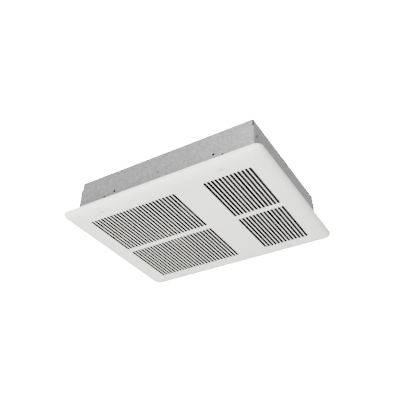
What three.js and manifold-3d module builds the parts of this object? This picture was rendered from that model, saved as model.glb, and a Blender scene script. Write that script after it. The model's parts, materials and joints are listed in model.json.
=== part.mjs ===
// Ceiling mounted fan heater: a galvanised recess housing closed by a slotted, formed steel panel.
// A fan draws room air through the wide slot field, over its motor and up through a bell-mouthed
// deck, and sends it across and down past two finned elements to the narrow slot field.
// Millimetres. The origin is the centre of the housing's mouth in the ceiling's face, +Z goes up
// into the ceiling, +X runs along the long side towards the outlet.

import * as THREE from "three";
import * as BufferGeometryUtils from "three/addons/utils/BufferGeometryUtils.js";
import Module from "manifold-3d";

const wasm = await Module();
wasm.setup();

// ---------------------------------------------------------------- clearances
const seatGap = 0.3; // a piece and what it sits on
const screwGap = 0.35; // a screw or rivet and its hole
const wallGap = 0.7; // a sheet and the housing wall beside it
const runningGap = 0.08; // the shaft and its bearings
const airGap = 0.5; // the rotor and its stator
const tipGap = 5; // the fan's blade tips and the bell mouth

// ---------------------------------------------------------------- housing
const housingLength = 462;
const housingWidth = 328;
const housingHeight = 100;
const housingSheet = 1;
const housingBend = 1.5; // inside radius of the folds
const slitHeight = 20; // open fold relief at the top of each corner
const slitWidth = 2.5;
const lapFlange = 24; // flange of a long wall behind the end plate
const lapGap = 0.4;
const lapOverhang = 0.6; // end plate's edge past the long wall
const wallHoleRadius = 3.2;
const upperHoleX = 131.5; // from the panel's centre line
const upperHoleZ = 41.5;
const lowerHoleX = 156.5; // from the housing's centre line
const lowerHoleZ = 33;
const tabWidth = 24; // tabs that take the panel's screws
const tabReach = 16;
const rivetInset = 14; // corner rivets, from the long wall
const rivetZ = 59.5;
const rivetRadius = 1.6;
const rivetHeadRadius = 3.2;
const rivetHeadHeight = 1.1;
const knockoutRadius = 11;
const knockoutSpacing = 32;
const knockoutZ = 22;
const deckRivetX = -8; // rivets through the long walls that hold the fan deck
const deckRivetRise = 5.5; // above the deck

// ---------------------------------------------------------------- panel
const panelEndLap = 24; // past the housing's end plates
const panelSideLap = 33; // past the long walls
const panelOffsetX = 3; // its centre from the housing's
const panelDepth = 14.5;
const panelSheet = 1.2;
const panelCorner = 17; // corner radius at the ceiling
const panelInnerCorner = 5; // corner radius where the edge meets the flat face
const panelEdge = 28; // width of the edge that curves back to the ceiling
const slotPitch = 8.9;
const slotWidth = 5.2;
const fieldInset = 13.25; // slot fields' ends, from the long walls' faces
const slotRowGap = 12.5;
const slotRows = 2;
const outletSlots = 13;
const intakeInset = 34.4; // least distance of the first slot's centre from the left end plate
const outletInset = 20; // last slot's centre, from the right end plate
const screwX = 155; // panel screws, from the panel's centre line
const screwReach = 6.5; // panel screws, outside the housing's wall
const screwRadius = 2;
const screwHeadRadius = 4.1;
const screwHeadHeight = 2.3;
const screwTail = 6; // past the tab
const screwTip = 2;
const dimpleRadius = 5.6;
const dimpleDepth = 1.4;

// ---------------------------------------------------------------- fan deck and fan
const deckZ = 45;
const deckSheet = 1;
const deckFlange = 13;
const flangeInset = 2; // end flange, from the corner flanges of the housing
const bellRadius = 9;
const collarRise = 19; // above the deck
const fanRadius = 98;
const fanRise = 17; // middle of the blades, above the deck
const fanShift = 12.75; // its axis, from the middle of the space left of the channel
const blades = 5;
const bladeSheet = 1.2;
const rootChord = 34;
const tipChord = 60;
const rootPitch = 38; // degrees
const tipPitch = 24;
const bladeCamber = 2.2;
const bladeSweep = 10; // degrees, root to tip
const cupRadius = 24;
const cupHeight = 20;
const cupWall = 1.4;
const cupBevel = 2;
const bushRadius = 6;
const bushHeight = 20;
const bushRim = 2.5;
const bushRimHeight = 2;
const hubBossWall = 3;
const hubBossEnd = 4; // from the cup's open edge

// ---------------------------------------------------------------- motor
const stackDrop = 13; // top of the stack, below the deck
const stackHeight = 20;
const poleLength = 60;
const poleWidth = 46;
const limbWidth = 12;
const yokeY = 59; // middle of the bar that carries the coil
const yokeWidth = 14;
const coilEndGap = 1; // coil and the limbs beside it
const coilBuild = 9;
const coilCheek = 1.2;
const rotorRadius = 12.5;
const shaftRadius = 3;
const shaftBelow = 11.5; // below the stack
const shaftBevel = 0.5;
const bearingRadius = 5.5;
const bearingLength = 6.4;
const bridgeRise = 7.6;
const bridgeWidth = 18;
const bridgeSheet = 1.6;
const bridgeFoot = 11;
const bridgeSlope = 6;
const bearingSeatWall = 2;
const bearingSeatDepth = 4;
const motorScrewInset = 5.5; // from the stack's ends
const spacerRadius = 4;
const boltHeadRadius = 3.6;
const boltHeadHeight = 2;
const boltTail = 1; // past the nut
const smallHeadRadius = 3.4;
const smallHeadHeight = 1.8;
const smallScrewLength = 6;
const spiderRing = 34;
const spiderBore = 12;
const spiderArm = 14;
const spiderRoot = 21; // width of an arm where it leaves the ring
const spiderTaper = 15; // length over which it narrows
const spiderChamfer = 4;
const spiderSheet = 1.5;
const spiderReach = 12; // arms, past the bell mouth
const spiderArms = [52, 128, 232, 308]; // degrees
const nutAcross = 7;
const nutHeight = 3;

// ---------------------------------------------------------------- wiring channel
const channelInset = 5.4; // from the nearest intake slot
const channelWidth = 61.7;
const channelSheet = 1;
const channelClear = 5.3; // above the panel's inner face
const channelLip = 10;
const leadHoleRadius = 3.4;
const coverSheet = 1;
const coverScrewInset = 34; // from the long walls' faces
const blockLength = 40;
const blockWidth = 20;
const blockHeight = 16;
const blockInset = 49; // its middle, from the rear wall's face
const blockPoles = 3;
const barrierWidth = 2;
const wellLength = 5; // wire entry, from the block's side
const wellDepth = 4;
const clampRadius = 2.6;
const clampDepth = 6;
const cutoutY = -60;
const delayY = 10;
const switchDrop = 18.4; // middle of the switches, below the channel's roof
const switchPlateLength = 26;
const switchPlateHeight = 12;
const switchPlateSheet = 1;
const discRadius = 8.5;
const discDepth = 10;
const discStep = 1.5;
const discStepRadius = 6.5;
const tagLength = 8; // push-on terminals
const tagSpread = 10;
const tagHeight = 4.8;
const tagSheet = 0.8;
const buttonRadius = 2.3;
const buttonBevel = 0.5;
const buttonTravel = 1.5;
const buttonStandOut = 5;
const groundScrewInset = 24; // from the rear wall's face
const groundScrewLength = 5;
const motorLeadY = 78; // hole in the channel's wall for the motor's lead
const motorLeadDrop = 21; // below the deck

// ---------------------------------------------------------------- outlet duct and elements
const ductInset = 5.6; // from the nearest outlet slot
const ductEndInset = 1.5;
const ductSheet = 0.8;
const ductClear = 1.8; // above the panel's inner face
const ductRise = 15; // above the deck
const ductFlange = 13;
const ductFlangeInset = 10; // flange ends, from the corner flanges of the housing
const elementDrop = 17; // below the deck
const tubeRadius = 4;
const legSpacing = 30;
const elementGap = 8; // between the two elements' fins
const finSideGap = 2.8; // fins and the duct's wall
const finHeight = 24;
const finSheet = 0.6;
const fins = 12;
const finClear = 8; // first and last fin, from the brackets
const bracketInset = 8; // front bracket, from the duct's end
const bracketStep = 6; // rear bracket, before the bend
const bracketLeg = 8;
const bracketSheet = 1;
const bracketRise = 4; // past the fins
const sheathTail = 1.4; // past the duct's end
const pinRadius = 1.7;
const pinTip = 2.6; // from the pin's end to the housing's wall
const leadRadius = 1.3;
const leadRise = 10; // the upper of the two leads in the slot of the channel's wall
const leadPairHalf = 1.6; // two leads side by side in one hole or well
const leadPairLift = 0.7; // one of the pair a little above the other

// ---------------------------------------------------------------- facets of the round pieces
const hexSides = 6;
const holeSides = 8;
const panHeadSides = 12;
const boreSides = 14;
const bellSides = 24;
const bellSteps = 3;
const rotorSides = 18;
const cupSides = 18;
const elementSides = 8;
const leadSides = 6;
const leadSteps = 2; // between two points of a lead's route
const foldSteps = 2;

// ---------------------------------------------------------------- places worked out from the sizes
const halfLength = housingLength / 2;
const halfWidth = housingWidth / 2;
const mouthZ = -housingSheet;
const panelLength = housingLength + 2 * panelEndLap;
const panelWidth = housingWidth + 2 * panelSideLap;
const panelInnerZ = panelSheet - panelDepth;
const panelScrewY = halfWidth + screwReach;
const slotLength = (housingWidth - 2 * fieldInset - (slotRows - 1) * slotRowGap) / slotRows;
const lastOutlet = halfLength - outletInset;
const firstOutlet = lastOutlet - (outletSlots - 1) * slotPitch;
const ductLeft = firstOutlet - slotWidth / 2 - ductInset;
const ductRight = lastOutlet + slotWidth / 2 + ductInset;
const ductMiddle = (ductLeft + ductRight) / 2;
const ductInnerY = halfWidth - fieldInset + ductEndInset;
const ductBottom = panelInnerZ + ductClear;
const ductTop = deckZ + ductRise;
const channelRight = ductLeft - seatGap;
const channelLeft = channelRight - channelWidth;
const channelMiddle = (channelLeft + channelRight) / 2;
const channelBottom = panelInnerZ + channelClear;
const channelTop = deckZ - seatGap;
const channelRoof = channelTop - channelSheet - seatGap;
const channelWall = channelRight - channelSheet - seatGap;
const blockY = halfWidth - blockInset;
const groundScrewY = halfWidth - groundScrewInset;
const coverScrewY = halfWidth - coverScrewInset;
const switchZ = channelRoof - switchDrop;
const motorLeadZ = deckZ - motorLeadDrop;
const discFace = channelWall - switchPlateSheet - discDepth;
const lastIntake = channelLeft - channelInset - slotWidth / 2;
const intakeSlots = 1 + Math.floor((lastIntake + halfLength - intakeInset) / slotPitch);
const firstIntake = lastIntake - (intakeSlots - 1) * slotPitch;
const fanX = (housingSheet - halfLength + channelLeft) / 2 + fanShift;
const fanZ = deckZ + fanRise;
const collarTop = deckZ + collarRise;
const bellOuter = fanRadius + tipGap + bellRadius;
const stackTop = deckZ - stackDrop;
const stackBottom = stackTop - stackHeight;
const coilLength = poleLength - 2 * (limbWidth + coilEndGap);
const motorScrewX = poleLength / 2 - motorScrewInset;
const spiderTop = deckZ - seatGap;
const spiderBottom = spiderTop - spiderSheet;
const spiderScrewR = bellOuter + spiderReach / 2;
const shaftBore = (shaftRadius + runningGap) / Math.cos(Math.PI / boreSides); // across its flats
const elementZ = deckZ - elementDrop;
const finWidth = (ductRight - ductLeft - 2 * ductSheet - elementGap) / 2 - finSideGap;
const hairpinSpacing = finWidth + elementGap;
const bendY = ductInnerY - 1 - tubeRadius - legSpacing / 2;
const frontBracketY = bracketInset - ductInnerY;
const rearBracketY = bendY - bracketStep;
const pinEnd = -halfWidth + housingSheet + pinTip;
const leadY = pinEnd + 2.4;

// ---------------------------------------------------------------- solids
const axisX = new THREE.Vector3(1, 0, 0);
const axisY = new THREE.Vector3(0, 1, 0);
const axisZ = new THREE.Vector3(0, 0, 1);

// A prism along x takes its outline in (y, z), one along y in (x, z), and one along z in (x, y).
const outlinePlanes = {
  x: [axisY, axisZ, axisX],
  y: [axisX, axisZ, axisY.clone().negate()],
  z: [axisX, axisY, axisZ],
};

function solid(geometry) {
  geometry.deleteAttribute("normal");
  geometry.deleteAttribute("uv");
  const merged = BufferGeometryUtils.mergeVertices(geometry, 1e-4);
  return new wasm.Manifold(
    new wasm.Mesh({
      numProp: 3,
      vertProperties: new Float32Array(merged.attributes.position.array),
      triVerts: new Uint32Array(merged.index.array),
    })
  );
}

function prism(axis, outline, from, to) {
  const options = { depth: to - from, bevelEnabled: false, curveSegments: 4 };
  const geometry = new THREE.ExtrudeGeometry(outline, options);
  geometry.applyMatrix4(new THREE.Matrix4().makeBasis(...outlinePlanes[axis]));
  const place = { x: [from, 0, 0], y: [0, to, 0], z: [0, 0, from] }[axis];
  return solid(geometry.translate(...place));
}

function block(x0, x1, y0, y1, z0, z1) {
  const geometry = new THREE.BoxGeometry(x1 - x0, y1 - y0, z1 - z0);
  return solid(geometry.translate((x0 + x1) / 2, (y0 + y1) / 2, (z0 + z1) / 2));
}

function round(a, b, radius, sides = holeSides) {
  const points = [];
  for (let i = 0; i < sides; i++) {
    const turn = (2 * Math.PI * (i + 0.5)) / sides;
    points.push(new THREE.Vector2(a + radius * Math.cos(turn), b + radius * Math.sin(turn)));
  }
  return new THREE.Shape(points);
}

function ring(a, b, radius, bore, sides = boreSides) {
  const shape = round(a, b, radius, sides);
  shape.holes.push(round(a, b, bore, sides));
  return shape;
}

function rectangle(a0, a1, b0, b1) {
  const corners = [[a0, b0], [a1, b0], [a1, b1], [a0, b1]];
  return new THREE.Shape(corners.map(([a, b]) => new THREE.Vector2(a, b)));
}

// A rod across a sheet: a hole to cut, a shank or a pin.
function rod(axis, a, b, radius, from, to, sides = holeSides) {
  return prism(axis, round(a, b, radius, sides), from, to);
}

// A body of revolution about z, from a profile of [radius, z] in either direction.
function turned(profile, sides) {
  const points = profile.map(([radius, z]) => new THREE.Vector2(radius, z));
  if (THREE.ShapeUtils.area(points) < 0) points.reverse();
  return solid(new THREE.LatheGeometry(points, sides).rotateX(Math.PI / 2));
}

function joined(...solids) {
  return solids.reduce((whole, next) => whole.add(next));
}

function cut(whole, ...tools) {
  return tools.reduce((rest, tool) => rest.subtract(tool), whole);
}

// The section of a folded sheet: the line follows one face of the sheet, which lies to its left,
// and every fold has the same inside radius.
function foldedSheet(line, sheet, bend, steps = foldSteps) {
  const near = [];
  const far = [];
  const points = line.map(([a, b]) => new THREE.Vector2(a, b));
  points.forEach((point, i) => {
    const before = points[i - 1];
    const after = points[i + 1];
    const into = before ? point.clone().sub(before).normalize() : after.clone().sub(point).normalize();
    const out = after ? after.clone().sub(point).normalize() : into;
    const left = new THREE.Vector2(-into.y, into.x);
    const turn = Math.atan2(into.cross(out), into.dot(out));
    if (Math.abs(turn) < 1e-6) {
      near.push(point.clone());
      far.push(point.clone().addScaledVector(left, sheet));
      return;
    }
    const side = Math.sign(turn);
    const nearRadius = side > 0 ? bend + sheet : bend;
    const farRadius = side > 0 ? bend : bend + sheet;
    const centre = point
      .clone()
      .addScaledVector(into, -nearRadius * Math.tan(Math.abs(turn) / 2))
      .addScaledVector(left, side * nearRadius);
    const spoke = left.multiplyScalar(-side);
    for (let step = 0; step <= steps; step++) {
      const arm = spoke.clone().rotateAround(new THREE.Vector2(), (turn * step) / steps);
      near.push(centre.clone().addScaledVector(arm, nearRadius));
      far.push(centre.clone().addScaledVector(arm, farRadius));
    }
  });
  return new THREE.Shape([...near, ...far.reverse()]);
}

// A closed body through a stack of level outlines that have as many points each.
function lofted(outlines) {
  const count = outlines[0].length;
  const positions = outlines.flat().flatMap((point) => point.toArray());
  const faces = [];
  for (let level = 0; level + 1 < outlines.length; level++) {
    for (let i = 0; i < count; i++) {
      const a = level * count + i;
      const b = level * count + ((i + 1) % count);
      faces.push(a, b, b + count, a, b + count, a + count);
    }
  }
  const last = (outlines.length - 1) * count;
  for (let i = 1; i + 1 < count; i++) {
    faces.push(0, i + 1, i, last, last + i, last + i + 1);
  }
  const geometry = new THREE.BufferGeometry();
  geometry.setAttribute("position", new THREE.Float32BufferAttribute(positions, 3));
  geometry.setIndex(faces);
  return solid(geometry);
}

// ---------------------------------------------------------------- housing
function wallHoles(side) {
  const places = [
    [panelOffsetX - upperHoleX, upperHoleZ],
    [panelOffsetX + upperHoleX, upperHoleZ],
    [-lowerHoleX, lowerHoleZ],
    [lowerHoleX, lowerHoleZ],
  ];
  const wall = side * (halfWidth - housingSheet / 2);
  return places.map(([x, z]) => rod("y", x, z, wallHoleRadius, wall - 2, wall + 2, boreSides));
}

function cornerHoles() {
  const depth = 2 * housingSheet + lapGap + 1;
  const holes = [];
  for (const end of [-1, 1]) {
    for (const side of [-1, 1]) {
      const middle = end * (halfLength - depth / 2 + 0.5);
      const y = side * (halfWidth - rivetInset);
      holes.push(rod("x", y, rivetZ, rivetRadius + screwGap, middle - depth, middle + depth));
    }
  }
  return holes;
}

function knockoutPlaces() {
  return [channelMiddle - knockoutSpacing / 2, channelMiddle + knockoutSpacing / 2];
}

function makeHousing() {
  const wallEnd = halfLength - housingSheet - lapGap;
  const plateHalf = halfWidth - slitWidth;
  const lapTop = housingHeight - slitHeight;
  const arch = (half) => [
    [half, mouthZ],
    [half, housingHeight],
    [-half, housingHeight],
    [-half, mouthZ],
  ];
  const longWalls = foldedSheet(arch(halfWidth), housingSheet, housingBend);
  const endWalls = foldedSheet(arch(halfLength), housingSheet, housingBend);
  let body = joined(
    prism("x", longWalls, -wallEnd, wallEnd),
    prism("y", endWalls, -plateHalf, plateHalf)
  );
  for (const end of [-1, 1]) {
    const span = (inner, outer) => [end * inner, end * outer].sort((a, b) => a - b);
    const plate = span(halfLength - housingSheet, halfLength);
    const flange = span(wallEnd - housingSheet, wallEnd);
    body = body.add(
      block(...plate, -halfWidth - lapOverhang, halfWidth + lapOverhang, mouthZ, lapTop)
    );
    body = body.add(block(...flange, -halfWidth, -halfWidth + lapFlange, mouthZ, lapTop - lapGap));
    body = body.add(block(...flange, halfWidth - lapFlange, halfWidth, mouthZ, lapTop - lapGap));
  }
  for (const side of [-1, 1]) {
    for (const end of [-1, 1]) {
      const x = panelOffsetX + end * screwX;
      const y = [side * (halfWidth - housingSheet), side * (halfWidth + tabReach)].sort((a, b) => a - b);
      body = body.add(block(x - tabWidth / 2, x + tabWidth / 2, ...y, mouthZ, 0));
      body = body.subtract(rod("z", x, side * panelScrewY, screwRadius + screwGap, mouthZ - 1, 1));
    }
  }
  const wall = [halfWidth - 2 * housingSheet, halfWidth + housingSheet];
  const knockouts = knockoutPlaces().map((x) =>
    rod("y", x, knockoutZ, knockoutRadius, ...wall, boreSides)
  );
  const holes = [...wallHoles(-1), ...wallHoles(1), ...cornerHoles(), ...knockouts, ...deckRivetHoles()];
  return cut(body, ...holes);
}

// A blind rivet along z: domed head above, shank through the sheets, flattened tail below.
function makeRivet(sheets) {
  const tail = 1.2;
  const grip = sheets + 2 * seatGap;
  return turned(
    [
      [0, rivetHeadHeight],
      [rivetHeadRadius * 0.7, rivetHeadHeight * 0.8],
      [rivetHeadRadius, 0],
      [rivetRadius, 0],
      [rivetRadius, -grip],
      [rivetRadius * 1.35, -grip - tail / 2],
      [rivetRadius * 0.8, -grip - tail],
      [0, -grip - tail],
    ],
    holeSides
  );
}

// ---------------------------------------------------------------- panel
function roundedOutline(inset, z) {
  const cornerSteps = 4;
  const radius = THREE.MathUtils.lerp(panelCorner, panelInnerCorner, inset / panelEdge);
  const points = [];
  for (const [cx, cy, quarter] of [[1, 1, 0], [-1, 1, 1], [-1, -1, 2], [1, -1, 3]]) {
    for (let step = 0; step <= cornerSteps; step++) {
      const turn = (Math.PI / 2) * (quarter + step / cornerSteps);
      const x = cx * (panelLength / 2 - inset - radius) + radius * Math.cos(turn);
      const y = cy * (panelWidth / 2 - inset - radius) + radius * Math.sin(turn);
      points.push(new THREE.Vector3(x, y, z));
    }
  }
  return points;
}

// The pressed tray: its edge is a quarter ellipse from the ceiling to the flat face.
function pressedTray(inset, depth, rise) {
  const steps = 5;
  const outlines = rise ? [roundedOutline(inset, rise)] : [];
  for (let step = 0; step <= steps; step++) {
    const turn = (Math.PI / 2) * (step / steps);
    const drawn = inset + (panelEdge - inset) * (1 - Math.cos(turn));
    outlines.push(roundedOutline(drawn, -depth * Math.sin(turn)));
  }
  return lofted(outlines.reverse());
}

function slotField(first, count) {
  const outlines = [];
  for (let row = 0; row < slotRows; row++) {
    const y = (slotLength + slotRowGap) * (row - (slotRows - 1) / 2);
    for (let i = 0; i < count; i++) {
      const x = first + i * slotPitch - panelOffsetX;
      const sides = [x - slotWidth / 2, x + slotWidth / 2];
      outlines.push(rectangle(...sides, y - slotLength / 2, y + slotLength / 2));
    }
  }
  return prism("z", outlines, -panelDepth - 1, -panelDepth + panelSheet + 1);
}

function makePanel() {
  const outer = pressedTray(0, panelDepth, 0);
  const inner = pressedTray(panelSheet, panelDepth - panelSheet, 1);
  const floor = dimpleDepth - panelDepth;
  let body = outer.subtract(inner);
  for (const side of [-1, 1]) {
    for (const end of [-1, 1]) {
      const place = [end * screwX, side * panelScrewY];
      const back = rod("z", ...place, dimpleRadius + panelSheet, -panelDepth, floor + panelSheet);
      body = body.add(back.intersect(outer));
      body = body.subtract(rod("z", ...place, dimpleRadius, -panelDepth - 1, floor));
      body = body.subtract(rod("z", ...place, screwRadius + screwGap, -panelDepth, panelSheet));
    }
  }
  return cut(body, slotField(firstIntake, intakeSlots), slotField(firstOutlet, outletSlots));
}

// A pan-head screw along z with its head below the origin and its shank above.
function makeScrew(headRadius, headHeight, length, sides) {
  return turned(
    [
      [0, -headHeight],
      [headRadius * 0.75, -headHeight],
      [headRadius, -headHeight * 0.4],
      [headRadius, 0],
      [screwRadius, 0],
      [screwRadius, length - screwTip],
      [0, length],
    ],
    sides
  );
}

function makeSmallScrew() {
  return makeScrew(smallHeadRadius, smallHeadHeight, smallScrewLength, hexSides);
}

// ---------------------------------------------------------------- fan deck
function spiderScrewPlaces() {
  return spiderArms.map((degrees) => {
    const turn = THREE.MathUtils.degToRad(degrees);
    return [spiderScrewR * Math.cos(turn), spiderScrewR * Math.sin(turn)];
  });
}

function deckRivetHoles() {
  const span = 4 * housingSheet;
  return [-1, 1].map((side) => {
    const y = side * (halfWidth - housingSheet);
    return rod("y", deckRivetX, deckZ + deckRivetRise, rivetRadius + screwGap, y - span, y + span);
  });
}

function makeDeck() {
  const left = -halfLength + housingSheet + wallGap + lapGap + housingSheet;
  const right = ductLeft - seatGap;
  const half = halfWidth - housingSheet - wallGap;
  const top = deckZ + deckFlange;
  const line = [[-half, top], [-half, deckZ], [half, deckZ], [half, top]];
  const section = foldedSheet(line, deckSheet, deckSheet, 1);
  const corner = halfWidth - lapFlange - flangeInset;
  const plate = joined(
    prism("x", section, left, right),
    block(left, left + deckSheet, -corner, corner, deckZ, top)
  );
  const throat = fanRadius + tipGap;
  const lower = [];
  const upper = [];
  for (let step = 0; step <= bellSteps; step++) {
    const turn = (Math.PI / 2) * (step / bellSteps);
    const point = (radius) => [
      bellOuter - radius * Math.sin(turn),
      deckZ + bellRadius - radius * Math.cos(turn),
    ];
    lower.push(point(bellRadius));
    upper.push(point(bellRadius - deckSheet));
  }
  const lip = bellOuter + 1;
  const bell = turned(
    [
      [lip, deckZ],
      ...lower,
      [throat, collarTop],
      [throat + deckSheet, collarTop],
      ...upper.reverse(),
      [lip, deckZ + deckSheet],
      [lip, deckZ],
    ],
    bellSides
  ).translate([fanX, 0, 0]);
  const opening = rod("z", fanX, 0, bellOuter, deckZ - 1, collarTop, bellSides);
  const places = spiderScrewPlaces().map(([x, y]) => [fanX + x, y]);
  const holes = [...places, [channelMiddle, groundScrewY]].map(([x, y]) =>
    rod("z", x, y, screwRadius + screwGap, deckZ - deckSheet, deckZ + 2 * deckSheet)
  );
  return cut(plate.subtract(opening).add(bell), ...holes, ...deckRivetHoles());
}

// ---------------------------------------------------------------- motor, about the fan's axis
function makeStator() {
  const half = poleLength / 2;
  const end = yokeY + yokeWidth / 2;
  const outline = rectangle(-half, half, -poleWidth / 2, end);
  const limb = half - limbWidth;
  outline.holes.push(
    rectangle(-limb, limb, poleWidth / 2, yokeY - yokeWidth / 2),
    round(0, 0, rotorRadius + airGap, rotorSides),
    round(-motorScrewX, 0, screwRadius + screwGap),
    round(motorScrewX, 0, screwRadius + screwGap)
  );
  return prism("z", outline, stackBottom, stackTop);
}

function makeCoil() {
  const winding = (grow, length) =>
    block(
      -length / 2,
      length / 2,
      yokeY - yokeWidth / 2 - grow,
      yokeY + yokeWidth / 2 + grow,
      stackBottom - grow,
      stackTop + grow
    );
  const between = coilLength - 2 * coilCheek;
  const wound = winding(coilBuild - coilCheek, between);
  const cheeks = winding(coilBuild, coilLength).subtract(winding(coilBuild + 1, between));
  return wound.add(cheeks).subtract(winding(seatGap, coilLength + 1));
}

// A bearing bridge seated on the stack's top face: a hat strap with the bearing's hole in its crown.
function makeBridge() {
  const half = poleLength / 2;
  const foot = stackTop + seatGap;
  const crown = foot + bridgeRise;
  const bend = half - bridgeFoot;
  const line = [
    [-half, foot],
    [-bend, foot],
    [bridgeSlope - bend, crown],
    [bend - bridgeSlope, crown],
    [bend, foot],
    [half, foot],
  ];
  const section = foldedSheet(line, bridgeSheet, bridgeSheet / 2, 1);
  const strap = prism("y", section, -bridgeWidth / 2, bridgeWidth / 2);
  const top = crown + bridgeSheet;
  const seat = [bearingRadius + bearingSeatWall, top - bearingSeatDepth, top, boreSides];
  const bore = [bearingRadius + seatGap, foot, top + 1, boreSides];
  const holes = [-motorScrewX, motorScrewX].map((x) =>
    rod("z", x, 0, screwRadius + screwGap, foot - bridgeSheet, foot + 2 * bridgeSheet)
  );
  return cut(strap.add(rod("z", 0, 0, ...seat)), rod("z", 0, 0, ...bore), ...holes);
}

function makeBearing() {
  const top = stackTop + seatGap + bridgeRise + bridgeSheet;
  return prism("z", ring(0, 0, bearingRadius, shaftBore), top - bearingLength, top);
}

function makeRotor() {
  const outline = round(0, 0, rotorRadius, rotorSides);
  outline.holes.push(round(0, 0, shaftBore, boreSides));
  return prism("z", outline, stackBottom, stackTop);
}

function makeShaft() {
  const bottom = stackBottom - shaftBelow;
  const top = fanZ + bushHeight / 2;
  return turned(
    [
      [0, bottom],
      [shaftRadius - shaftBevel, bottom],
      [shaftRadius, bottom + shaftBevel],
      [shaftRadius, top - shaftBevel],
      [shaftRadius - shaftBevel, top],
      [0, top],
    ],
    boreSides
  );
}

function makeSpider() {
  const reach = bellOuter + spiderReach;
  const root = spiderRing - 3;
  const half = spiderArm / 2;
  const edge = [
    [root, spiderRoot / 2],
    [root + spiderTaper, half],
    [reach - spiderChamfer, half],
    [reach, half - spiderChamfer],
  ];
  const outline = [...edge.map(([x, y]) => [x, -y]), ...edge.reverse()];
  const arm = new THREE.Shape(outline.map(([x, y]) => new THREE.Vector2(x, y)));
  let body = prism("z", ring(0, 0, spiderRing, spiderBore, cupSides), spiderBottom, spiderTop);
  for (const degrees of spiderArms) {
    body = body.add(prism("z", arm, spiderBottom, spiderTop).rotate([0, 0, degrees]));
  }
  const holes = [...spiderScrewPlaces(), [-motorScrewX, 0], [motorScrewX, 0]].map(([x, y]) =>
    rod("z", x, y, screwRadius + screwGap, spiderBottom - 1, spiderTop + 1)
  );
  return cut(body, ...holes);
}

function motorScrewLength() {
  const lowerFoot = stackBottom - seatGap - bridgeSheet;
  return spiderTop + seatGap - (lowerFoot - seatGap - nutHeight - boltTail);
}

function makeSpacer() {
  const bottom = stackTop + seatGap + bridgeSheet + seatGap;
  const outline = ring(0, 0, spacerRadius, screwRadius + screwGap, holeSides);
  return prism("z", outline, bottom, spiderBottom - seatGap);
}

function makeNut() {
  const top = stackBottom - seatGap - bridgeSheet - seatGap;
  const outline = round(0, 0, nutAcross / Math.sqrt(3), hexSides);
  outline.holes.push(round(0, 0, screwRadius + screwGap));
  return prism("z", outline, top - nutHeight, top);
}

// ---------------------------------------------------------------- fan, about its own axis
// One blade: chord lines from root to tip, each turned to its pitch and bowed by the camber.
// The blade falls in the direction of turning, so that it drives air up through the deck.
function makeBlade() {
  const stations = 4;
  const steps = 3;
  const sections = [];
  for (let station = 0; station <= stations; station++) {
    const share = station / stations;
    const radius = cupRadius - cupWall / 2 + share * (fanRadius - cupRadius + cupWall / 2);
    const chord = THREE.MathUtils.lerp(rootChord, tipChord, share) * (share === 1 ? 0.86 : 1);
    const pitch = THREE.MathUtils.degToRad(THREE.MathUtils.lerp(rootPitch, tipPitch, share));
    const sweep = THREE.MathUtils.degToRad(bladeSweep) * share;
    const face = (side) => {
      const line = [];
      for (let step = 0; step <= steps; step++) {
        const along = (step / steps - 0.5) * chord;
        const bow = bladeCamber * (1 - (2 * (step / steps) - 1) ** 2);
        const turn = sweep + (along * Math.cos(pitch)) / radius;
        const z = fanZ - along * Math.sin(pitch) + bow + (side * bladeSheet) / 2;
        line.push(new THREE.Vector3(radius * Math.cos(turn), radius * Math.sin(turn), z));
      }
      return line;
    };
    sections.push([...face(-1), ...face(1).reverse()]);
  }
  return lofted(sections);
}

function makeFan() {
  const top = fanZ + cupHeight / 2;
  const bottom = fanZ - cupHeight / 2;
  const boss = bushRadius + seatGap;
  const inner = cupRadius - cupWall;
  const roof = top - cupWall;
  let body = turned(
    [
      [boss, top],
      [cupRadius - cupBevel, top],
      [cupRadius, top - cupBevel],
      [cupRadius, bottom],
      [inner, bottom],
      [inner, roof - cupBevel / 2],
      [inner - cupBevel / 2, roof],
      [boss + hubBossWall, roof],
      [boss + hubBossWall, bottom + hubBossEnd],
      [boss, bottom + hubBossEnd],
      [boss, top],
    ],
    cupSides
  );
  const blade = makeBlade();
  for (let i = 0; i < blades; i++) {
    body = body.add(blade.rotate([0, 0, (360 * i) / blades]));
  }
  return body;
}

function makeBush() {
  const bottom = fanZ - bushHeight / 2;
  return joined(
    prism("z", ring(0, 0, bushRadius, shaftBore), bottom, bottom + bushHeight),
    prism("z", ring(0, 0, bushRadius + bushRim, shaftBore), bottom, bottom + bushRimHeight)
  );
}

// ---------------------------------------------------------------- wiring channel
function makeChannel() {
  const half = halfWidth - housingSheet - wallGap;
  const section = foldedSheet(
    [
      [channelRight - channelLip, channelBottom],
      [channelRight, channelBottom],
      [channelRight, channelTop],
      [channelLeft, channelTop],
      [channelLeft, channelBottom],
      [channelLeft + channelLip, channelBottom],
    ],
    channelSheet,
    channelSheet,
    1
  );
  const body = prism("y", section, -half, half);
  const inlet = new THREE.Shape();
  inlet.absarc(leadY, elementZ, leadHoleRadius, Math.PI, 2 * Math.PI);
  inlet.absarc(leadY, elementZ + leadRise, leadHoleRadius, 0, Math.PI);
  const through = (face) => [face - 2 * channelSheet, face + 2 * channelSheet];
  const hole = screwRadius + screwGap;
  return cut(
    body,
    prism("x", inlet, ...through(channelRight)),
    rod("x", motorLeadY, motorLeadZ, leadHoleRadius, ...through(channelLeft)),
    rod("z", channelMiddle, groundScrewY, hole, ...through(channelTop)),
    ...coverScrewPlaces().map(([x, y]) => rod("z", x, y, hole, ...through(channelBottom)))
  );
}

function coverScrewPlaces() {
  return [
    [channelLeft + channelLip / 2, -coverScrewY],
    [channelRight - channelLip / 2, coverScrewY],
  ];
}

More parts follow.
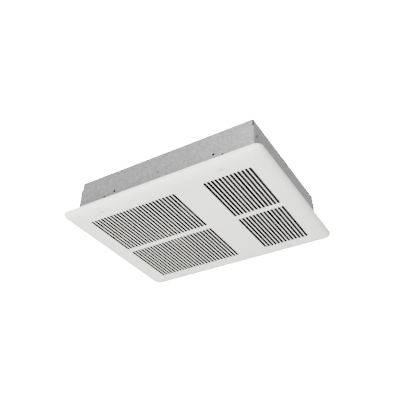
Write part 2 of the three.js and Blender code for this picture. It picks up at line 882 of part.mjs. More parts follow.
function makeCover() {
  const half = halfWidth - housingSheet - 2 * wallGap;
  const top = channelBottom - seatGap;
  const span = [channelLeft + seatGap, channelRight - seatGap, -half, half];
  const plate = block(...span, top - coverSheet, top);
  const holes = coverScrewPlaces().map(([x, y]) =>
    rod("z", x, y, screwRadius + screwGap, top - 2 * coverSheet, top + 1)
  );
  return cut(plate, ...holes);
}

// Terminal block hung under the channel's roof: wells between barriers, wire entries in both sides.
function makeTerminalBlock() {
  const bottom = channelRoof - blockHeight;
  const left = channelMiddle - blockLength / 2;
  const half = blockWidth / 2;
  const pole = blockLength / blockPoles;
  const shoulder = half - wellLength;
  let body = block(left, left + blockLength, blockY - half, blockY + half, bottom, channelRoof);
  for (let i = 0; i < blockPoles; i++) {
    const x = left + (i + 0.5) * pole;
    const sides = [x - (pole - barrierWidth) / 2, x + (pole - barrierWidth) / 2];
    const well = [bottom - 1, bottom + wellDepth];
    body = cut(
      body,
      block(...sides, blockY - blockWidth, blockY - shoulder, ...well),
      block(...sides, blockY + shoulder, blockY + blockWidth, ...well),
      rod("z", x, blockY, clampRadius, bottom - 1, bottom + clampDepth)
    );
  }
  return body;
}

// Bimetal disc switch on the channel's right wall: plate, round body and two push-on tags along -x.
function makeDiscSwitch(y, hasButton) {
  const back = channelWall - switchPlateSheet;
  const plateY = [y - switchPlateLength / 2, y + switchPlateLength / 2];
  const plateZ = [switchZ - switchPlateHeight / 2, switchZ + switchPlateHeight / 2];
  let body = joined(
    block(back, channelWall, ...plateY, ...plateZ),
    rod("x", y, switchZ, discRadius, discFace, back + switchPlateSheet / 2, boreSides),
    rod("x", y, switchZ, discStepRadius, discFace - discStep, discFace + 1, boreSides)
  );
  for (const side of [-1, 1]) {
    const tagY = y + (side * tagSpread) / 2;
    const tag = [tagY - tagSheet / 2, tagY + tagSheet / 2];
    const height = [switchZ - tagHeight / 2, switchZ + tagHeight / 2];
    body = body.add(block(discFace - tagLength, discFace, ...tag, ...height));
  }
  if (!hasButton) return body;
  return body.subtract(rod("x", y, switchZ, buttonRadius + seatGap, discFace - 2, back - 1, boreSides));
}

function makeButton() {
  const inner = channelWall - switchPlateSheet - 1 - seatGap - buttonTravel;
  const tip = discFace - discStep - buttonStandOut;
  return joined(
    rod("x", cutoutY, switchZ, buttonRadius, tip + buttonBevel, inner),
    rod("x", cutoutY, switchZ, buttonRadius - buttonBevel, tip, inner)
  );
}

function makeGroundScrew() {
  const hex = prism("z", round(0, 0, nutAcross / Math.sqrt(3), hexSides), -nutHeight, 0);
  return hex.add(rod("z", 0, 0, screwRadius, -1, groundScrewLength));
}

// ---------------------------------------------------------------- duct and elements
function legPlaces() {
  const places = [];
  for (const pin of [-1, 1]) {
    for (const leg of [-1, 1]) {
      places.push(ductMiddle + (pin * hairpinSpacing) / 2 + (leg * legSpacing) / 2);
    }
  }
  return places;
}

function makeDuct() {
  const outer = rectangle(ductLeft, ductRight, -ductInnerY - ductSheet, ductInnerY + ductSheet);
  outer.holes.push(rectangle(ductLeft + ductSheet, ductRight - ductSheet, -ductInnerY, ductInnerY));
  const flangeY = halfWidth - lapFlange - ductFlangeInset;
  const flange = [-flangeY, flangeY];
  const seat = deckZ + deckSheet + seatGap;
  const wallSide = halfLength - housingSheet - wallGap;
  const body = joined(
    prism("z", outer, ductBottom, ductTop),
    block(ductLeft - ductFlange, ductLeft + ductSheet / 2, ...flange, seat, seat + ductSheet),
    block(ductRight - ductSheet / 2, wallSide, ...flange, ductTop - ductSheet, ductTop)
  );
  const holes = legPlaces().map((x) =>
    rod("y", x, elementZ, tubeRadius + screwGap, -ductInnerY - 2, -ductInnerY + 2)
  );
  return cut(body, ...holes);
}

// A bent steel-sheathed element with plate fins pressed over both legs.
function makeHairpin(middle) {
  const end = -ductInnerY - ductSheet - sheathTail;
  const section = (turn, y) => {
    const out = new THREE.Vector3(Math.cos(turn), Math.sin(turn), 0);
    const centre = out.clone().multiplyScalar(legSpacing / 2).add(new THREE.Vector3(middle, y, elementZ));
    return round(0, 0, tubeRadius, elementSides)
      .getPoints()
      .map((point) => centre.clone().addScaledVector(out, point.x).addScaledVector(axisZ, -point.y));
  };
  const bend = [];
  for (let step = 0; step <= elementSides; step++) {
    bend.push(section((Math.PI * step) / elementSides, bendY));
  }
  let body = lofted([section(0, end), ...bend, section(Math.PI, end)]);
  for (const leg of [-1, 1]) {
    const x = middle + (leg * legSpacing) / 2;
    body = body.add(rod("y", x, elementZ, pinRadius, pinEnd, end + tubeRadius));
  }
  const first = frontBracketY + finClear;
  const last = rearBracketY - finClear;
  const x = [middle - finWidth / 2, middle + finWidth / 2];
  const z = [elementZ - finHeight / 2, elementZ + finHeight / 2];
  for (let i = 0; i < fins; i++) {
    const y = first + ((last - first) * i) / (fins - 1);
    body = body.add(block(...x, y - finSheet / 2, y + finSheet / 2, ...z));
  }
  return body;
}

function makeElementBracket(y) {
  const left = ductLeft + ductSheet + seatGap;
  const right = ductRight - ductSheet - seatGap;
  const half = finHeight / 2 + bracketRise;
  const line = [[right, y - bracketLeg], [right, y], [left, y], [left, y - bracketLeg]];
  const section = foldedSheet(line, bracketSheet, bracketSheet / 2, 1);
  const plate = prism("z", section, elementZ - half, elementZ + half);
  const span = [y - 3 * bracketSheet, y + 3 * bracketSheet];
  const holes = legPlaces().map((x) => rod("y", x, elementZ, tubeRadius + screwGap, ...span));
  return cut(plate, ...holes);
}

// ---------------------------------------------------------------- leads
function makeLead(points, steps) {
  const path = new THREE.CatmullRomCurve3(points.map((point) => new THREE.Vector3(...point)));
  const options = { steps, extrudePath: path, bevelEnabled: false };
  return solid(new THREE.ExtrudeGeometry(round(0, 0, leadRadius, leadSides), options));
}

function leadRoutes() {
  const legs = legPlaces();
  const beside = pinRadius + seatGap;
  const tagEnd = discFace - tagLength - seatGap;
  const tagY = tagSpread / 2;
  const entryY = blockY - blockWidth / 2 + wellLength - seatGap;
  const entryZ = channelRoof - blockHeight + wellDepth / 2;
  const pole = blockLength / blockPoles;
  const over = elementZ + leadRise;
  const coilEnd = yokeY + yokeWidth / 2 + coilBuild + seatGap;
  return {
    element_lead_a: [
      [legs[0] - beside, leadY, elementZ],
      [channelRight, leadY, elementZ],
      [channelRight - 14, leadY + 6, elementZ],
      [channelMiddle + 6, leadY + 30, elementZ + 1],
      [channelMiddle, cutoutY - 40, elementZ],
      [tagEnd - 7, cutoutY - tagY - 3, switchZ],
      [tagEnd, cutoutY - tagY, switchZ],
    ],
    element_lead_b: [
      [legs[3], leadY, elementZ + beside],
      [legs[3] - 1, leadY, elementZ + 6],
      [legs[3] - 8, leadY, over],
      [legs[1], leadY, over + 0.6],
      [channelRight, leadY, over],
      [channelRight - 16, leadY + 5, over],
      [channelLeft + 14, leadY + 40, over],
      [channelLeft + 10, 0, over],
      [channelMiddle - pole + leadPairHalf, entryY - 12, entryZ],
      [channelMiddle - pole + leadPairHalf, entryY, entryZ],
    ],
    element_jumper: [
      [legs[1] + beside, leadY, elementZ],
      [(legs[1] + legs[2]) / 2, leadY, elementZ - 3],
      [legs[2] - beside, leadY, elementZ],
    ],
    cutout_lead: [
      [tagEnd, cutoutY + tagY, switchZ],
      [tagEnd - 7, cutoutY + tagY + 3, switchZ],
      [channelMiddle - 2, 0, switchZ - 9],
      [channelMiddle, entryY - 35, switchZ - 7],
      [channelMiddle, entryY - 10, entryZ],
      [channelMiddle, entryY, entryZ],
    ],
    motor_lead: [
      [fanX + coilLength / 2 - 6, coilEnd, stackTop],
      [fanX + coilLength / 2 - 4, coilEnd + 10, stackTop - 2],
      [fanX + coilLength / 2 + 22, coilEnd + 16, stackTop - 6],
      [(fanX + channelLeft) / 2, motorLeadY + 6, motorLeadZ - 2],
      [channelLeft - 8, motorLeadY - leadPairHalf, motorLeadZ + leadPairLift],
      [channelLeft + 8, motorLeadY - leadPairHalf, motorLeadZ + leadPairLift],
      [channelMiddle, motorLeadY - 28, motorLeadZ - 2],
      [tagEnd - 7, delayY + tagY + 3, switchZ],
      [tagEnd, delayY + tagY, switchZ],
    ],
    motor_lead_return: [
      [fanX + coilLength / 2 - 6, coilEnd, stackTop - 10],
      [fanX + coilLength / 2 - 4, coilEnd + 10, stackTop - 11],
      [fanX + coilLength / 2 + 24, coilEnd + 17, stackTop - 13],
      [(fanX + channelLeft) / 2 + 4, motorLeadY + 14, motorLeadZ - 7],
      [channelLeft - 8, motorLeadY + leadPairHalf, motorLeadZ - leadPairLift],
      [channelLeft + 8, motorLeadY + leadPairHalf, motorLeadZ - leadPairLift],
      [channelMiddle - pole - leadPairHalf, entryY - 12, entryZ],
      [channelMiddle - pole - leadPairHalf, entryY, entryZ],
    ],
    delay_lead: [
      [tagEnd, delayY - tagY, switchZ],
      [tagEnd - 6, delayY - tagY - 2, switchZ],
      [channelMiddle + 4, delayY + 4, switchZ - 9],
      [channelMiddle + 6, delayY + 40, switchZ - 7],
      [channelMiddle + pole, entryY - 12, entryZ],
      [channelMiddle + pole, entryY, entryZ],
    ],
  };
}

// ---------------------------------------------------------------- finishes
function finish(color, roughness, metalness) {
  return new THREE.MeshStandardMaterial({ color, roughness, metalness });
}

const finishes = {
  galvanised: finish(0xa9abab, 0.5, 0.75),
  whitePowder: finish(0xe6e7e2, 0.42, 0),
  bareSteel: finish(0x8c8f92, 0.4, 0.85),
  aluminised: finish(0xb4b6b8, 0.38, 0.9),
  aluminium: finish(0xb9bcc0, 0.35, 0.95),
  lamination: finish(0x4a4d52, 0.6, 0.6),
  bobbin: finish(0x8a3b22, 0.45, 0),
  bronze: finish(0x9c7440, 0.45, 0.8),
  sheath: finish(0x5c5e60, 0.5, 0.7),
  phenolic: finish(0x24211f, 0.5, 0),
  redPlastic: finish(0xb3231d, 0.4, 0),
  greenScrew: finish(0x2f6b3c, 0.45, 0.4),
  blackLead: finish(0x202123, 0.5, 0),
  redLead: finish(0x9a2420, 0.5, 0),
};

// ---------------------------------------------------------------- assembly
function piece(name, body, look, place = [0, 0, 0], turn = [0, 0, 0]) {
  const data = body.getMesh();
  const geometry = new THREE.BufferGeometry();
  geometry.setAttribute("position", new THREE.BufferAttribute(data.vertProperties, 3));
  geometry.setIndex(new THREE.BufferAttribute(data.triVerts, 1));
  geometry.computeVertexNormals();
  const mesh = new THREE.Mesh(geometry, finishes[look].clone());
  mesh.name = name;
  mesh.position.set(...place);
  mesh.rotation.set(...turn);
  return mesh;
}

function cornerRivets() {
  const rivet = makeRivet(2 * housingSheet + lapGap);
  const meshes = [];
  for (const [endName, end] of [["left", -1], ["right", 1]]) {
    for (const [sideName, side] of [["front", -1], ["rear", 1]]) {
      const name = `corner_rivet_${endName}_${sideName}`;
      const place = [end * (halfLength + seatGap), side * (halfWidth - rivetInset), rivetZ];
      meshes.push(piece(name, rivet, "bareSteel", place, [0, (end * Math.PI) / 2, 0]));
    }
  }
  return meshes;
}

function deckRivets() {
  const rivet = makeRivet(housingSheet + wallGap + deckSheet);
  return [["front", -1], ["rear", 1]].map(([name, side]) =>
    piece(
      `deck_rivet_${name}`,
      rivet,
      "bareSteel",
      [deckRivetX, side * (halfWidth + seatGap), deckZ + deckRivetRise],
      [(-side * Math.PI) / 2, 0, 0]
    )
  );
}

function panelGroup() {
  const group = new THREE.Group();
  group.position.set(panelOffsetX, 0, 0);
  group.add(piece("grille_panel", makePanel(), "whitePowder"));
  const seat = dimpleDepth - panelDepth - seatGap;
  const screw = makeScrew(screwHeadRadius, screwHeadHeight, screwTail - seat, panHeadSides);
  const places = [[-1, -1], [1, -1], [-1, 1], [1, 1]];
  places.forEach(([end, side], i) => {
    const place = [end * screwX, side * panelScrewY, seat];
    group.add(piece(`panel_screw_${i + 1}`, screw, "whitePowder", place));
  });
  return group;
}

function motorGroup() {
  const group = new THREE.Group();
  group.position.set(fanX, 0, 0);
  const flip = [Math.PI, 0, 0];
  const below = [0, 0, stackTop + stackBottom];
  group.add(piece("stator_core", makeStator(), "lamination"));
  group.add(piece("motor_coil", makeCoil(), "bobbin"));
  group.add(piece("bearing_bridge_upper", makeBridge(), "bareSteel"));
  group.add(piece("bearing_bridge_lower", makeBridge(), "bareSteel", below, flip));
  group.add(piece("bearing_upper", makeBearing(), "bronze"));
  group.add(piece("bearing_lower", makeBearing(), "bronze", below, flip));
  group.add(piece("motor_spider", makeSpider(), "bareSteel"));
  group.add(piece("rotor_core", makeRotor(), "lamination"));
  group.add(piece("rotor_shaft", makeShaft(), "bareSteel"));
  group.add(piece("fan_bush", makeBush(), "bareSteel"));
  group.add(piece("fan_blades", makeFan(), "aluminium"));
  const bolt = makeScrew(boltHeadRadius, boltHeadHeight, motorScrewLength(), hexSides);
  [["left", -1], ["right", 1]].forEach(([name, side]) => {
    const x = side * motorScrewX;
    group.add(piece(`motor_screw_${name}`, bolt, "bareSteel", [x, 0, spiderTop + seatGap], flip));
    group.add(piece(`motor_spacer_${name}`, makeSpacer(), "bareSteel", [x, 0, 0]));
    group.add(piece(`motor_nut_${name}`, makeNut(), "bareSteel", [x, 0, 0]));
  });
  const screw = makeSmallScrew();
  spiderScrewPlaces().forEach(([x, y], i) => {
    group.add(piece(`spider_screw_${i + 1}`, screw, "bareSteel", [x, y, spiderBottom - seatGap]));
  });
  return group;
}

function channelGroup() {
  const group = new THREE.Group();
  group.add(piece("wiring_channel", makeChannel(), "galvanised"));
  group.add(piece("wiring_cover", makeCover(), "galvanised"));
  group.add(piece("terminal_block", makeTerminalBlock(), "phenolic"));
  group.add(piece("thermal_cutout", makeDiscSwitch(cutoutY, true), "phenolic"));
  group.add(piece("fan_delay_switch", makeDiscSwitch(delayY, false), "phenolic"));
  group.add(piece("reset_button", makeButton(), "redPlastic"));
  const place = [channelMiddle, groundScrewY, channelRoof];
  group.add(piece("ground_screw", makeGroundScrew(), "greenScrew", place));
  const screw = makeSmallScrew();
  coverScrewPlaces().forEach(([x, y], i) => {
    const z = channelBottom - seatGap - coverSheet - seatGap;
    group.add(piece(`cover_screw_${i + 1}`, screw, "bareSteel", [x, y, z]));
  });
  return group;
}

function heaterGroup() {
  const group = new THREE.Group();
  group.add(piece("outlet_duct", makeDuct(), "aluminised"));
  group.add(piece("element_left", makeHairpin(ductMiddle - hairpinSpacing / 2), "sheath"));
  group.add(piece("element_right", makeHairpin(ductMiddle + hairpinSpacing / 2), "sheath"));
  group.add(piece("element_bracket_front", makeElementBracket(frontBracketY), "aluminised"));
  group.add(piece("element_bracket_rear", makeElementBracket(rearBracketY), "aluminised"));
  return group;
}

function knockoutSlugs() {
  const slug = rod("y", 0, 0, knockoutRadius - seatGap, -housingSheet, 0, boreSides);
  return knockoutPlaces().map((x, i) =>
    piece(`knockout_slug_${i + 1}`, slug, "galvanised", [x, halfWidth, knockoutZ])
  );
}

const heater = new THREE.Group();
heater.add(piece("housing", makeHousing(), "galvanised"));
heater.add(...cornerRivets(), ...deckRivets(), ...knockoutSlugs());
heater.add(panelGroup());
heater.add(piece("fan_deck", makeDeck(), "galvanised"));
heater.add(motorGroup());
heater.add(channelGroup());
heater.add(heaterGroup());
for (const [name, route] of Object.entries(leadRoutes())) {
  const look = name.startsWith("motor_lead") ? "redLead" : "blackLead";
  heater.add(piece(name, makeLead(route, leadSteps * (route.length - 1)), look));
}

export default heater;
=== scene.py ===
# %% [markdown]
# # A ceiling mounted fan heater
# A galvanised box hangs in a ceiling opening and a white slotted panel closes it from below. A fan
# behind the wide slots pushes room air over two finned elements and out of the narrow slots.
# The box's frame is already modelled, so this lesson loads it and dresses it. Lengths are worked
# out in millimetres, because that is how sheet metal is drawn, and turned to metres at the end.

# %% Load the frame and note its box
import json
import math

import bmesh
import bpy
from mathutils import Matrix, Vector


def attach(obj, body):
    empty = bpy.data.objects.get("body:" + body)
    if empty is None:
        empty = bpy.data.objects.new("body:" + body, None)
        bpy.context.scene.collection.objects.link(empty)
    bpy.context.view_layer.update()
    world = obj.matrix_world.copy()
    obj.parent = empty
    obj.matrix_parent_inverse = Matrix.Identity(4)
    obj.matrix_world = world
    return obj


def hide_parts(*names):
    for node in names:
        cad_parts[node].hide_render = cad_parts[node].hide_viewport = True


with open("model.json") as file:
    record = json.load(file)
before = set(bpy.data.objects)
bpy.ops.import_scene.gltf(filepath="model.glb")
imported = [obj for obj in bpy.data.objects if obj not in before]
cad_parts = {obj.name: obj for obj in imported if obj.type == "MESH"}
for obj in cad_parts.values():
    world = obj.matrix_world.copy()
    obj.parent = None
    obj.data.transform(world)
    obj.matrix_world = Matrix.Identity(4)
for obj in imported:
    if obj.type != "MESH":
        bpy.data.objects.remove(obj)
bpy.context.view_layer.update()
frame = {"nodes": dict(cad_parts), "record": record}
nodes = frame["nodes"]


def put(name, data):
    """Puts data into the scene as an object."""
    thing = bpy.data.objects.new(name, data)
    bpy.context.scene.collection.objects.link(thing)
    return thing


# %% [markdown]
# The picture is taken from below, in front of the long wall and towards the outlet's end. The
# camera could be aimed with a constraint, but a position and two directions say exactly where it
# stands, and they came from matching the box's edges.

# %% Camera
CAMERA_PLACE = (0.6078, -0.9790, -0.7405)
CAMERA_FORWARD = Vector((-0.4297, 0.6954, 0.5760))
CAMERA_UP = Vector((0.2852, -0.5007, 0.8173))
FIELD_OF_VIEW = 38.1  # degrees


def camera_turn(forward, up):
    back = -forward.normalized()
    right = up.cross(back).normalized()
    return Matrix((right, back.cross(right), back)).transposed().to_4x4()


camera_data = bpy.data.cameras.new("camera")
camera_data.angle = math.radians(FIELD_OF_VIEW)
camera_data.clip_start = 0.01
camera = put("camera", camera_data)
camera.matrix_world = Matrix.Translation(CAMERA_PLACE) @ camera_turn(CAMERA_FORWARD, CAMERA_UP)
bpy.context.scene.camera = camera
print("lens", round(camera_data.lens, 1), "mm")

# %% [markdown]
# Colours are picked as on a screen, in hex, while the renderer works in linear light. One function
# turns the first into the second.

# %% Colour and node helpers


def linear(hex_colour):
    channels = [int(hex_colour[i:i + 2], 16) / 255 for i in (1, 3, 5)]
    spread = [c / 12.92 if c <= 0.04045 else ((c + 0.055) / 1.055) ** 2.4 for c in channels]
    return (*spread, 1.0)


def add_node(tree, kind, values=None, links=None, **settings):
    """Adds a node with its settings, its typed values and what is plugged into it."""
    node = tree.nodes.new(kind)
    for name, value in settings.items():
        setattr(node, name, value)
    for socket, value in (values or {}).items():
        node.inputs[socket].default_value = value
    for socket, source in (links or {}).items():
        tree.links.new(source, node.inputs[socket])
    return node


print("white powder is", linear("#E8E8E4"))

# %% [markdown]
# The background of a product picture is blown out to white. The world is white where the camera
# looks straight at it and a softer grey for what lights the metal, so that the walls keep their
# tone. A pale floor lies a storey below. Four large area lights give the panel its even face and
# a soft highlight along its near edge, the long wall its gradient and the end wall its shade.

# %% World, floor and lights
WORLD_LIGHT = 0.9
SEEN_WHITE = 30  # bright enough to come out white
FLOOR_DEPTH = 2.4
FLOOR_HALF = 6
LIGHTS = {  # place, target and size in metres, power in watts
    "from_below": ((0.5, -1.6, -1.75), (0.0, 0.0, 0.0), 1.6, 115),
    "along_the_near_edge": ((-0.9, -1.1, -1.5), (0.0, -0.15, 0.0), 1.2, 60),
    "on_the_long_wall": ((0.5, -1.7, 0.9), (0.15, -0.1, 0.0), 1.2, 38),
    "over_the_top": ((-0.8, 0.8, 2.2), (0.0, 0.0, 0.0), 1.5, 40),
}

world = bpy.data.worlds.new("studio")
bpy.context.scene.world = world
world.use_nodes = True
sky = world.node_tree
sky.nodes.clear()
light_path = add_node(sky, "ShaderNodeLightPath")
seen = add_node(sky, "ShaderNodeBackground", {"Color": (1, 1, 1, 1), "Strength": SEEN_WHITE})
lit = add_node(sky, "ShaderNodeBackground", {"Color": linear("#F4F6F8"), "Strength": WORLD_LIGHT})
mixed = {0: light_path.outputs["Is Camera Ray"], 1: lit.outputs[0], 2: seen.outputs[0]}
both = add_node(sky, "ShaderNodeMixShader", links=mixed)
add_node(sky, "ShaderNodeOutputWorld", links={"Surface": both.outputs[0]})

floor_mesh = bpy.data.meshes.new("floor")
floor_bm = bmesh.new()
bmesh.ops.create_grid(floor_bm, x_segments=1, y_segments=1, size=FLOOR_HALF)
bmesh.ops.translate(floor_bm, verts=floor_bm.verts, vec=(0, 0, -FLOOR_DEPTH))
floor_bm.to_mesh(floor_mesh)
floor_bm.free()
floor = put("floor", floor_mesh)
floor_paint = bpy.data.materials.new("pale_floor")
floor_paint.use_nodes = True
floor_sockets = floor_paint.node_tree.nodes["Principled BSDF"].inputs
floor_sockets["Base Color"].default_value = linear("#ECECEA")
floor_sockets["Roughness"].default_value = 0.8
floor_mesh.materials.append(floor_paint)


def area_light(name, place, target, size, power):
    data = bpy.data.lights.new(name, "AREA")
    data.shape = "DISK"
    data.size = size
    data.energy = power
    lamp = put(name, data)
    beam = (Vector(target) - Vector(place)).to_track_quat("-Z", "Y")
    lamp.matrix_world = Matrix.Translation(place) @ beam.to_matrix().to_4x4()


for light_name, light in LIGHTS.items():
    area_light(light_name, *light)

# %% [markdown]
# A material starts from an empty tree with one Principled shader. What is the same all over goes on
# the shader's own sockets, and only what varies is plugged in. Patterns read Object coordinates,
# which are metres here, so a pattern that repeats every 8 mm has a scale of 1 / 0.008.

# %% Material starter
MM = 0.001


def per_mm(size):
    """The scale that makes one cell of a pattern that many millimetres."""
    return 1 / (size * MM)


def start_material(name, colour, roughness, metallic=0.0, **more):
    material = bpy.data.materials.new(name)
    material.use_nodes = True
    tree = material.node_tree
    tree.nodes.clear()
    shader = add_node(
        tree,
        "ShaderNodeBsdfPrincipled",
        {"Base Color": linear(colour), "Roughness": roughness, "Metallic": metallic, **more},
    )
    add_node(tree, "ShaderNodeOutputMaterial", links={"Surface": shader.outputs[0]})
    place = add_node(tree, "ShaderNodeTexCoord").outputs["Object"]
    return material, tree, shader, place


def ramp(tree, source, stops, interpolation="LINEAR"):
    """Turns a 0 to 1 pattern into colours or levels at the given stops."""
    node = add_node(tree, "ShaderNodeValToRGB", links={"Fac": source})
    node.color_ramp.interpolation = interpolation
    while len(node.color_ramp.elements) < len(stops):
        node.color_ramp.elements.new(0.5)
    for element, (position, colour) in zip(node.color_ramp.elements, stops):
        element.position = position
        element.color = colour
    return node.outputs["Color"]


def grey(level):
    return (level, level, level, 1.0)


def stretched(tree, place, scale):
    """Object coordinates squeezed along some axes, for scratches and grain."""
    return add_node(tree, "ShaderNodeMapping", {"Scale": scale}, {"Vector": place}).outputs[0]


def noise(tree, place, scale, output="Fac", **values):
    """Cloudy noise from 0 to 1, or in colours."""
    values["Scale"] = scale
    return add_node(tree, "ShaderNodeTexNoise", values, {"Vector": place}).outputs[output]


def plug_ramp(tree, source, shader, socket, low, high, ends=(0.3, 0.7)):
    """Plugs a pattern into the shader: low up to the first end, high from the second on."""
    stops = [(ends[0], low), (ends[1], high)]
    tree.links.new(ramp(tree, source, stops), shader.inputs[socket])


def bump(tree, shader, height, distance):
    """Makes a height pattern, in millimetres, tilt the light."""
    values = {"Distance": distance * MM, "Strength": 1.0}
    node = add_node(tree, "ShaderNodeBump", values, {"Height": height})
    tree.links.new(node.outputs[0], shader.inputs["Normal"])


# %% [markdown]
# The panel is deep-drawn mild steel, powder coated white. Powder melts into a satin film with a
# faint orange peel, about 3 mm from crest to crest. A flat white would look like paper, so the
# film gets its peel as bump and a roughness that wanders.

# %% White powder coat


def make_powder_coat():
    coat = {"Coat Weight": 0.12, "Coat Roughness": 0.25}
    material, tree, shader, place = start_material(
        "satin_white_powder_coat", "#E3E3DD", 0.40, **coat
    )
    drift = noise(tree, place, per_mm(90), Detail=2.0)
    plug_ramp(tree, drift, shader, "Base Color", linear("#E1E1DB"), linear("#E6E6E0"))
    plug_ramp(tree, drift, shader, "Roughness", grey(0.36), grey(0.44))
    bump(tree, shader, noise(tree, place, per_mm(2.8), Detail=2.0), 0.14)
    return material


powder_coat = make_powder_coat()

# %% [markdown]
# The housing is hot-dip galvanised sheet. Zinc freezes in crystals a few millimetres across, the
# spangle, which each reflect a little differently, and handling leaves fine drawn scratches along
# the sheet. Cells of a Voronoi pattern are the crystals. It is bare metal, so metallic stays high.

# %% Galvanised sheet


def make_galvanised():
    material, tree, shader, place = start_material(
        "hot_dip_galvanised_sheet", "#A3A4A3", 0.45, 0.85
    )
    warp = noise(tree, place, per_mm(14), "Color", Detail=2.0)
    bent = add_node(
        tree, "ShaderNodeMix", {"Factor": 0.004}, data_type="RGBA", blend_type="ADD",
        links={"A": place, "B": warp},
    )
    crystals = add_node(
        tree, "ShaderNodeTexVoronoi", {"Scale": per_mm(3.2)}, {"Vector": bent.outputs["Result"]}
    ).outputs["Color"]
    value = add_node(tree, "ShaderNodeSeparateColor", links={"Color": crystals}).outputs[0]
    tones = [(0.0, linear("#989998")), (0.5, linear("#A3A4A3")), (1.0, linear("#B0B1AF"))]
    tree.links.new(ramp(tree, value, tones), shader.inputs["Base Color"])
    drawn = stretched(tree, place, (per_mm(60), per_mm(60), per_mm(1.2)))
    scratches = noise(tree, drawn, 1.0, Detail=4.0, Roughness=0.7)
    worn = ramp(tree, scratches, [(0.3, grey(0.36)), (0.7, grey(0.47))])
    sheen = add_node(
        tree, "ShaderNodeMath", {1: 0.10}, {0: value, 2: worn}, operation="MULTIPLY_ADD"
    )
    tree.links.new(sheen.outputs[0], shader.inputs["Roughness"])
    bump(tree, shader, scratches, 0.012)
    return material


galvanised = make_galvanised()

# %% [markdown]
# The other metals differ by colour, grain and shine. One function gives each its mottled grain,
# from how it was plated, pressed or heated.

# %% Plated, sintered and heated metals


def make_metal(name, colour, dark, roughness, grain, depth):
    """Metal whose grain has the given size and depth in millimetres."""
    material, tree, shader, place = start_material(name, colour, roughness, 1.0)
    grainy = stretched(tree, place, [per_mm(grain)] * 3)
    mottle = noise(tree, grainy, 1.0, Detail=3.0, Roughness=0.6)
    low, high = roughness - 0.06, roughness + 0.08
    plug_ramp(tree, mottle, shader, "Roughness", grey(low), grey(high))
    plug_ramp(tree, mottle, shader, "Base Color", linear(dark), linear(colour), (0.35, 0.65))
    bump(tree, shader, mottle, depth)
    return material


zinc_plate = make_metal("bright_zinc_plate", "#B9BCBF", "#A4A8AD", 0.30, 3, 0.003)
rivet_steel = make_metal("dulled_rivet_steel", "#7E8184", "#6C6F72", 0.50, 3, 0.004)
bronze = make_metal("oiled_sintered_bronze", "#A27B45", "#8A6536", 0.48, 0.4, 0.02)
sheath = make_metal("heat_darkened_sheath", "#343336", "#242226", 0.6, 4, 0.01)

# %% [markdown]
# The motor's core is a stack of stamped laminations 0.5 mm thick, blued by heat. Only their edges
# show, as level stripes, and at that size they would blur to one grey. A wave draws bands of them
# instead. Its scale is set by the millimetres to a radian, and a whole stripe is 6.28 times that.

# %% Laminations
WAVE_RADIANS = 20  # of a wave texture, to one unit at a scale of one


def wave(tree, place, radian, direction, distortion, **values):
    """Stripes across a direction, with the given number of millimetres to a radian."""
    values.update({"Scale": per_mm(radian) / WAVE_RADIANS, "Distortion": distortion})
    return add_node(
        tree, "ShaderNodeTexWave", values, {"Vector": place},
        wave_type="BANDS", bands_direction=direction,
    ).outputs["Fac"]


def make_laminations():
    material, tree, shader, place = start_material("blued_laminations", "#3A3D43", 0.6, 0.85)
    stripes = wave(tree, place, 1.0, "Z", 0.4, Detail=1.0)
    plug_ramp(
        tree, stripes, shader, "Base Color", linear("#26282C"), linear("#3E4147"), (0.2, 0.8)
    )
    bump(tree, shader, stripes, 0.15)
    return material


laminations = make_laminations()

# %% [markdown]
# The works behind the grille get painted shade: the deck, duct, channel and fan are coloured near
# black, and the winding and the red lead are darkened, so that the inside reads dark through the
# slots. The deck, duct and channel have a fine matt paint over aluminised sheet, and the fan's coat
# is a little smoother. Phenolic is moulded from filled resin and shows a fine mottle, the reset
# button is glossy red nylon, the winding is wrapped in varnished tape, and the leads wear a sleeve
# of braided glass yarn, drawn as two sets of ribs, crossed.

# %% Black paint, mouldings, tape and braid


def make_moulding(name, colour, dark, roughness, mottle, depth=0.02, shine=0.5):
    material, tree, shader, place = start_material(
        name, colour, roughness, **{"Specular IOR Level": shine}
    )
    flecks = noise(tree, place, per_mm(mottle), Detail=3.0)
    plug_ramp(tree, flecks, shader, "Base Color", linear(dark), linear(colour), (0.35, 0.65))
    bump(tree, shader, flecks, depth)
    return material


def make_ribbed(name, colour, dark, roughness, radian, directions, depth=0.1):
    """Ribs across one direction, or crossed where two directions are given."""
    material, tree, shader, place = start_material(name, colour, roughness)
    ribs = [wave(tree, place, radian, direction, 0.6) for direction in directions]
    height = ribs[0]
    if len(ribs) > 1:
        crossed = {0: ribs[0], 1: ribs[1]}
        height = add_node(tree, "ShaderNodeMath", links=crossed, operation="MAXIMUM").outputs[0]
    plug_ramp(tree, height, shader, "Base Color", linear(dark), linear(colour), (0.1, 0.8))
    bump(tree, shader, height, depth)
    return material


# Painted shade: the works behind the grille are coloured near black so that the inside reads dark.
painted_shade_black = make_moulding("painted_shade_matt_black_paint", "#121213", "#0C0C0D", 0.85, 1.6, 0.01, 0.2)
# Painted shade: the fan is coloured near black as well, with a little more shine.
painted_shade_fan_black = make_moulding("painted_shade_fan_sheet", "#1A1A1B", "#131314", 0.6, 2.2, 0.006, 0.3)
phenolic = make_moulding("black_phenolic", "#2A2725", "#1D1B1A", 0.42, 1.2)
# The screws' white enamel is a little greyer than the panel's coat; that grey is painted shade, so
# the heads show as faint dark spots.
shade_greyed_enamel = make_moulding("shade_greyed_white_screw_enamel", "#C6C7C3", "#BDBEBA", 0.35, 2.0, 0.004)
red_nylon = make_moulding("red_nylon_button", "#B5241C", "#A81F18", 0.25, 3.0, 0.004)
green_plate = make_moulding("green_dyed_zinc", "#2F6D3C", "#285E34", 0.35, 2.0, 0.01)
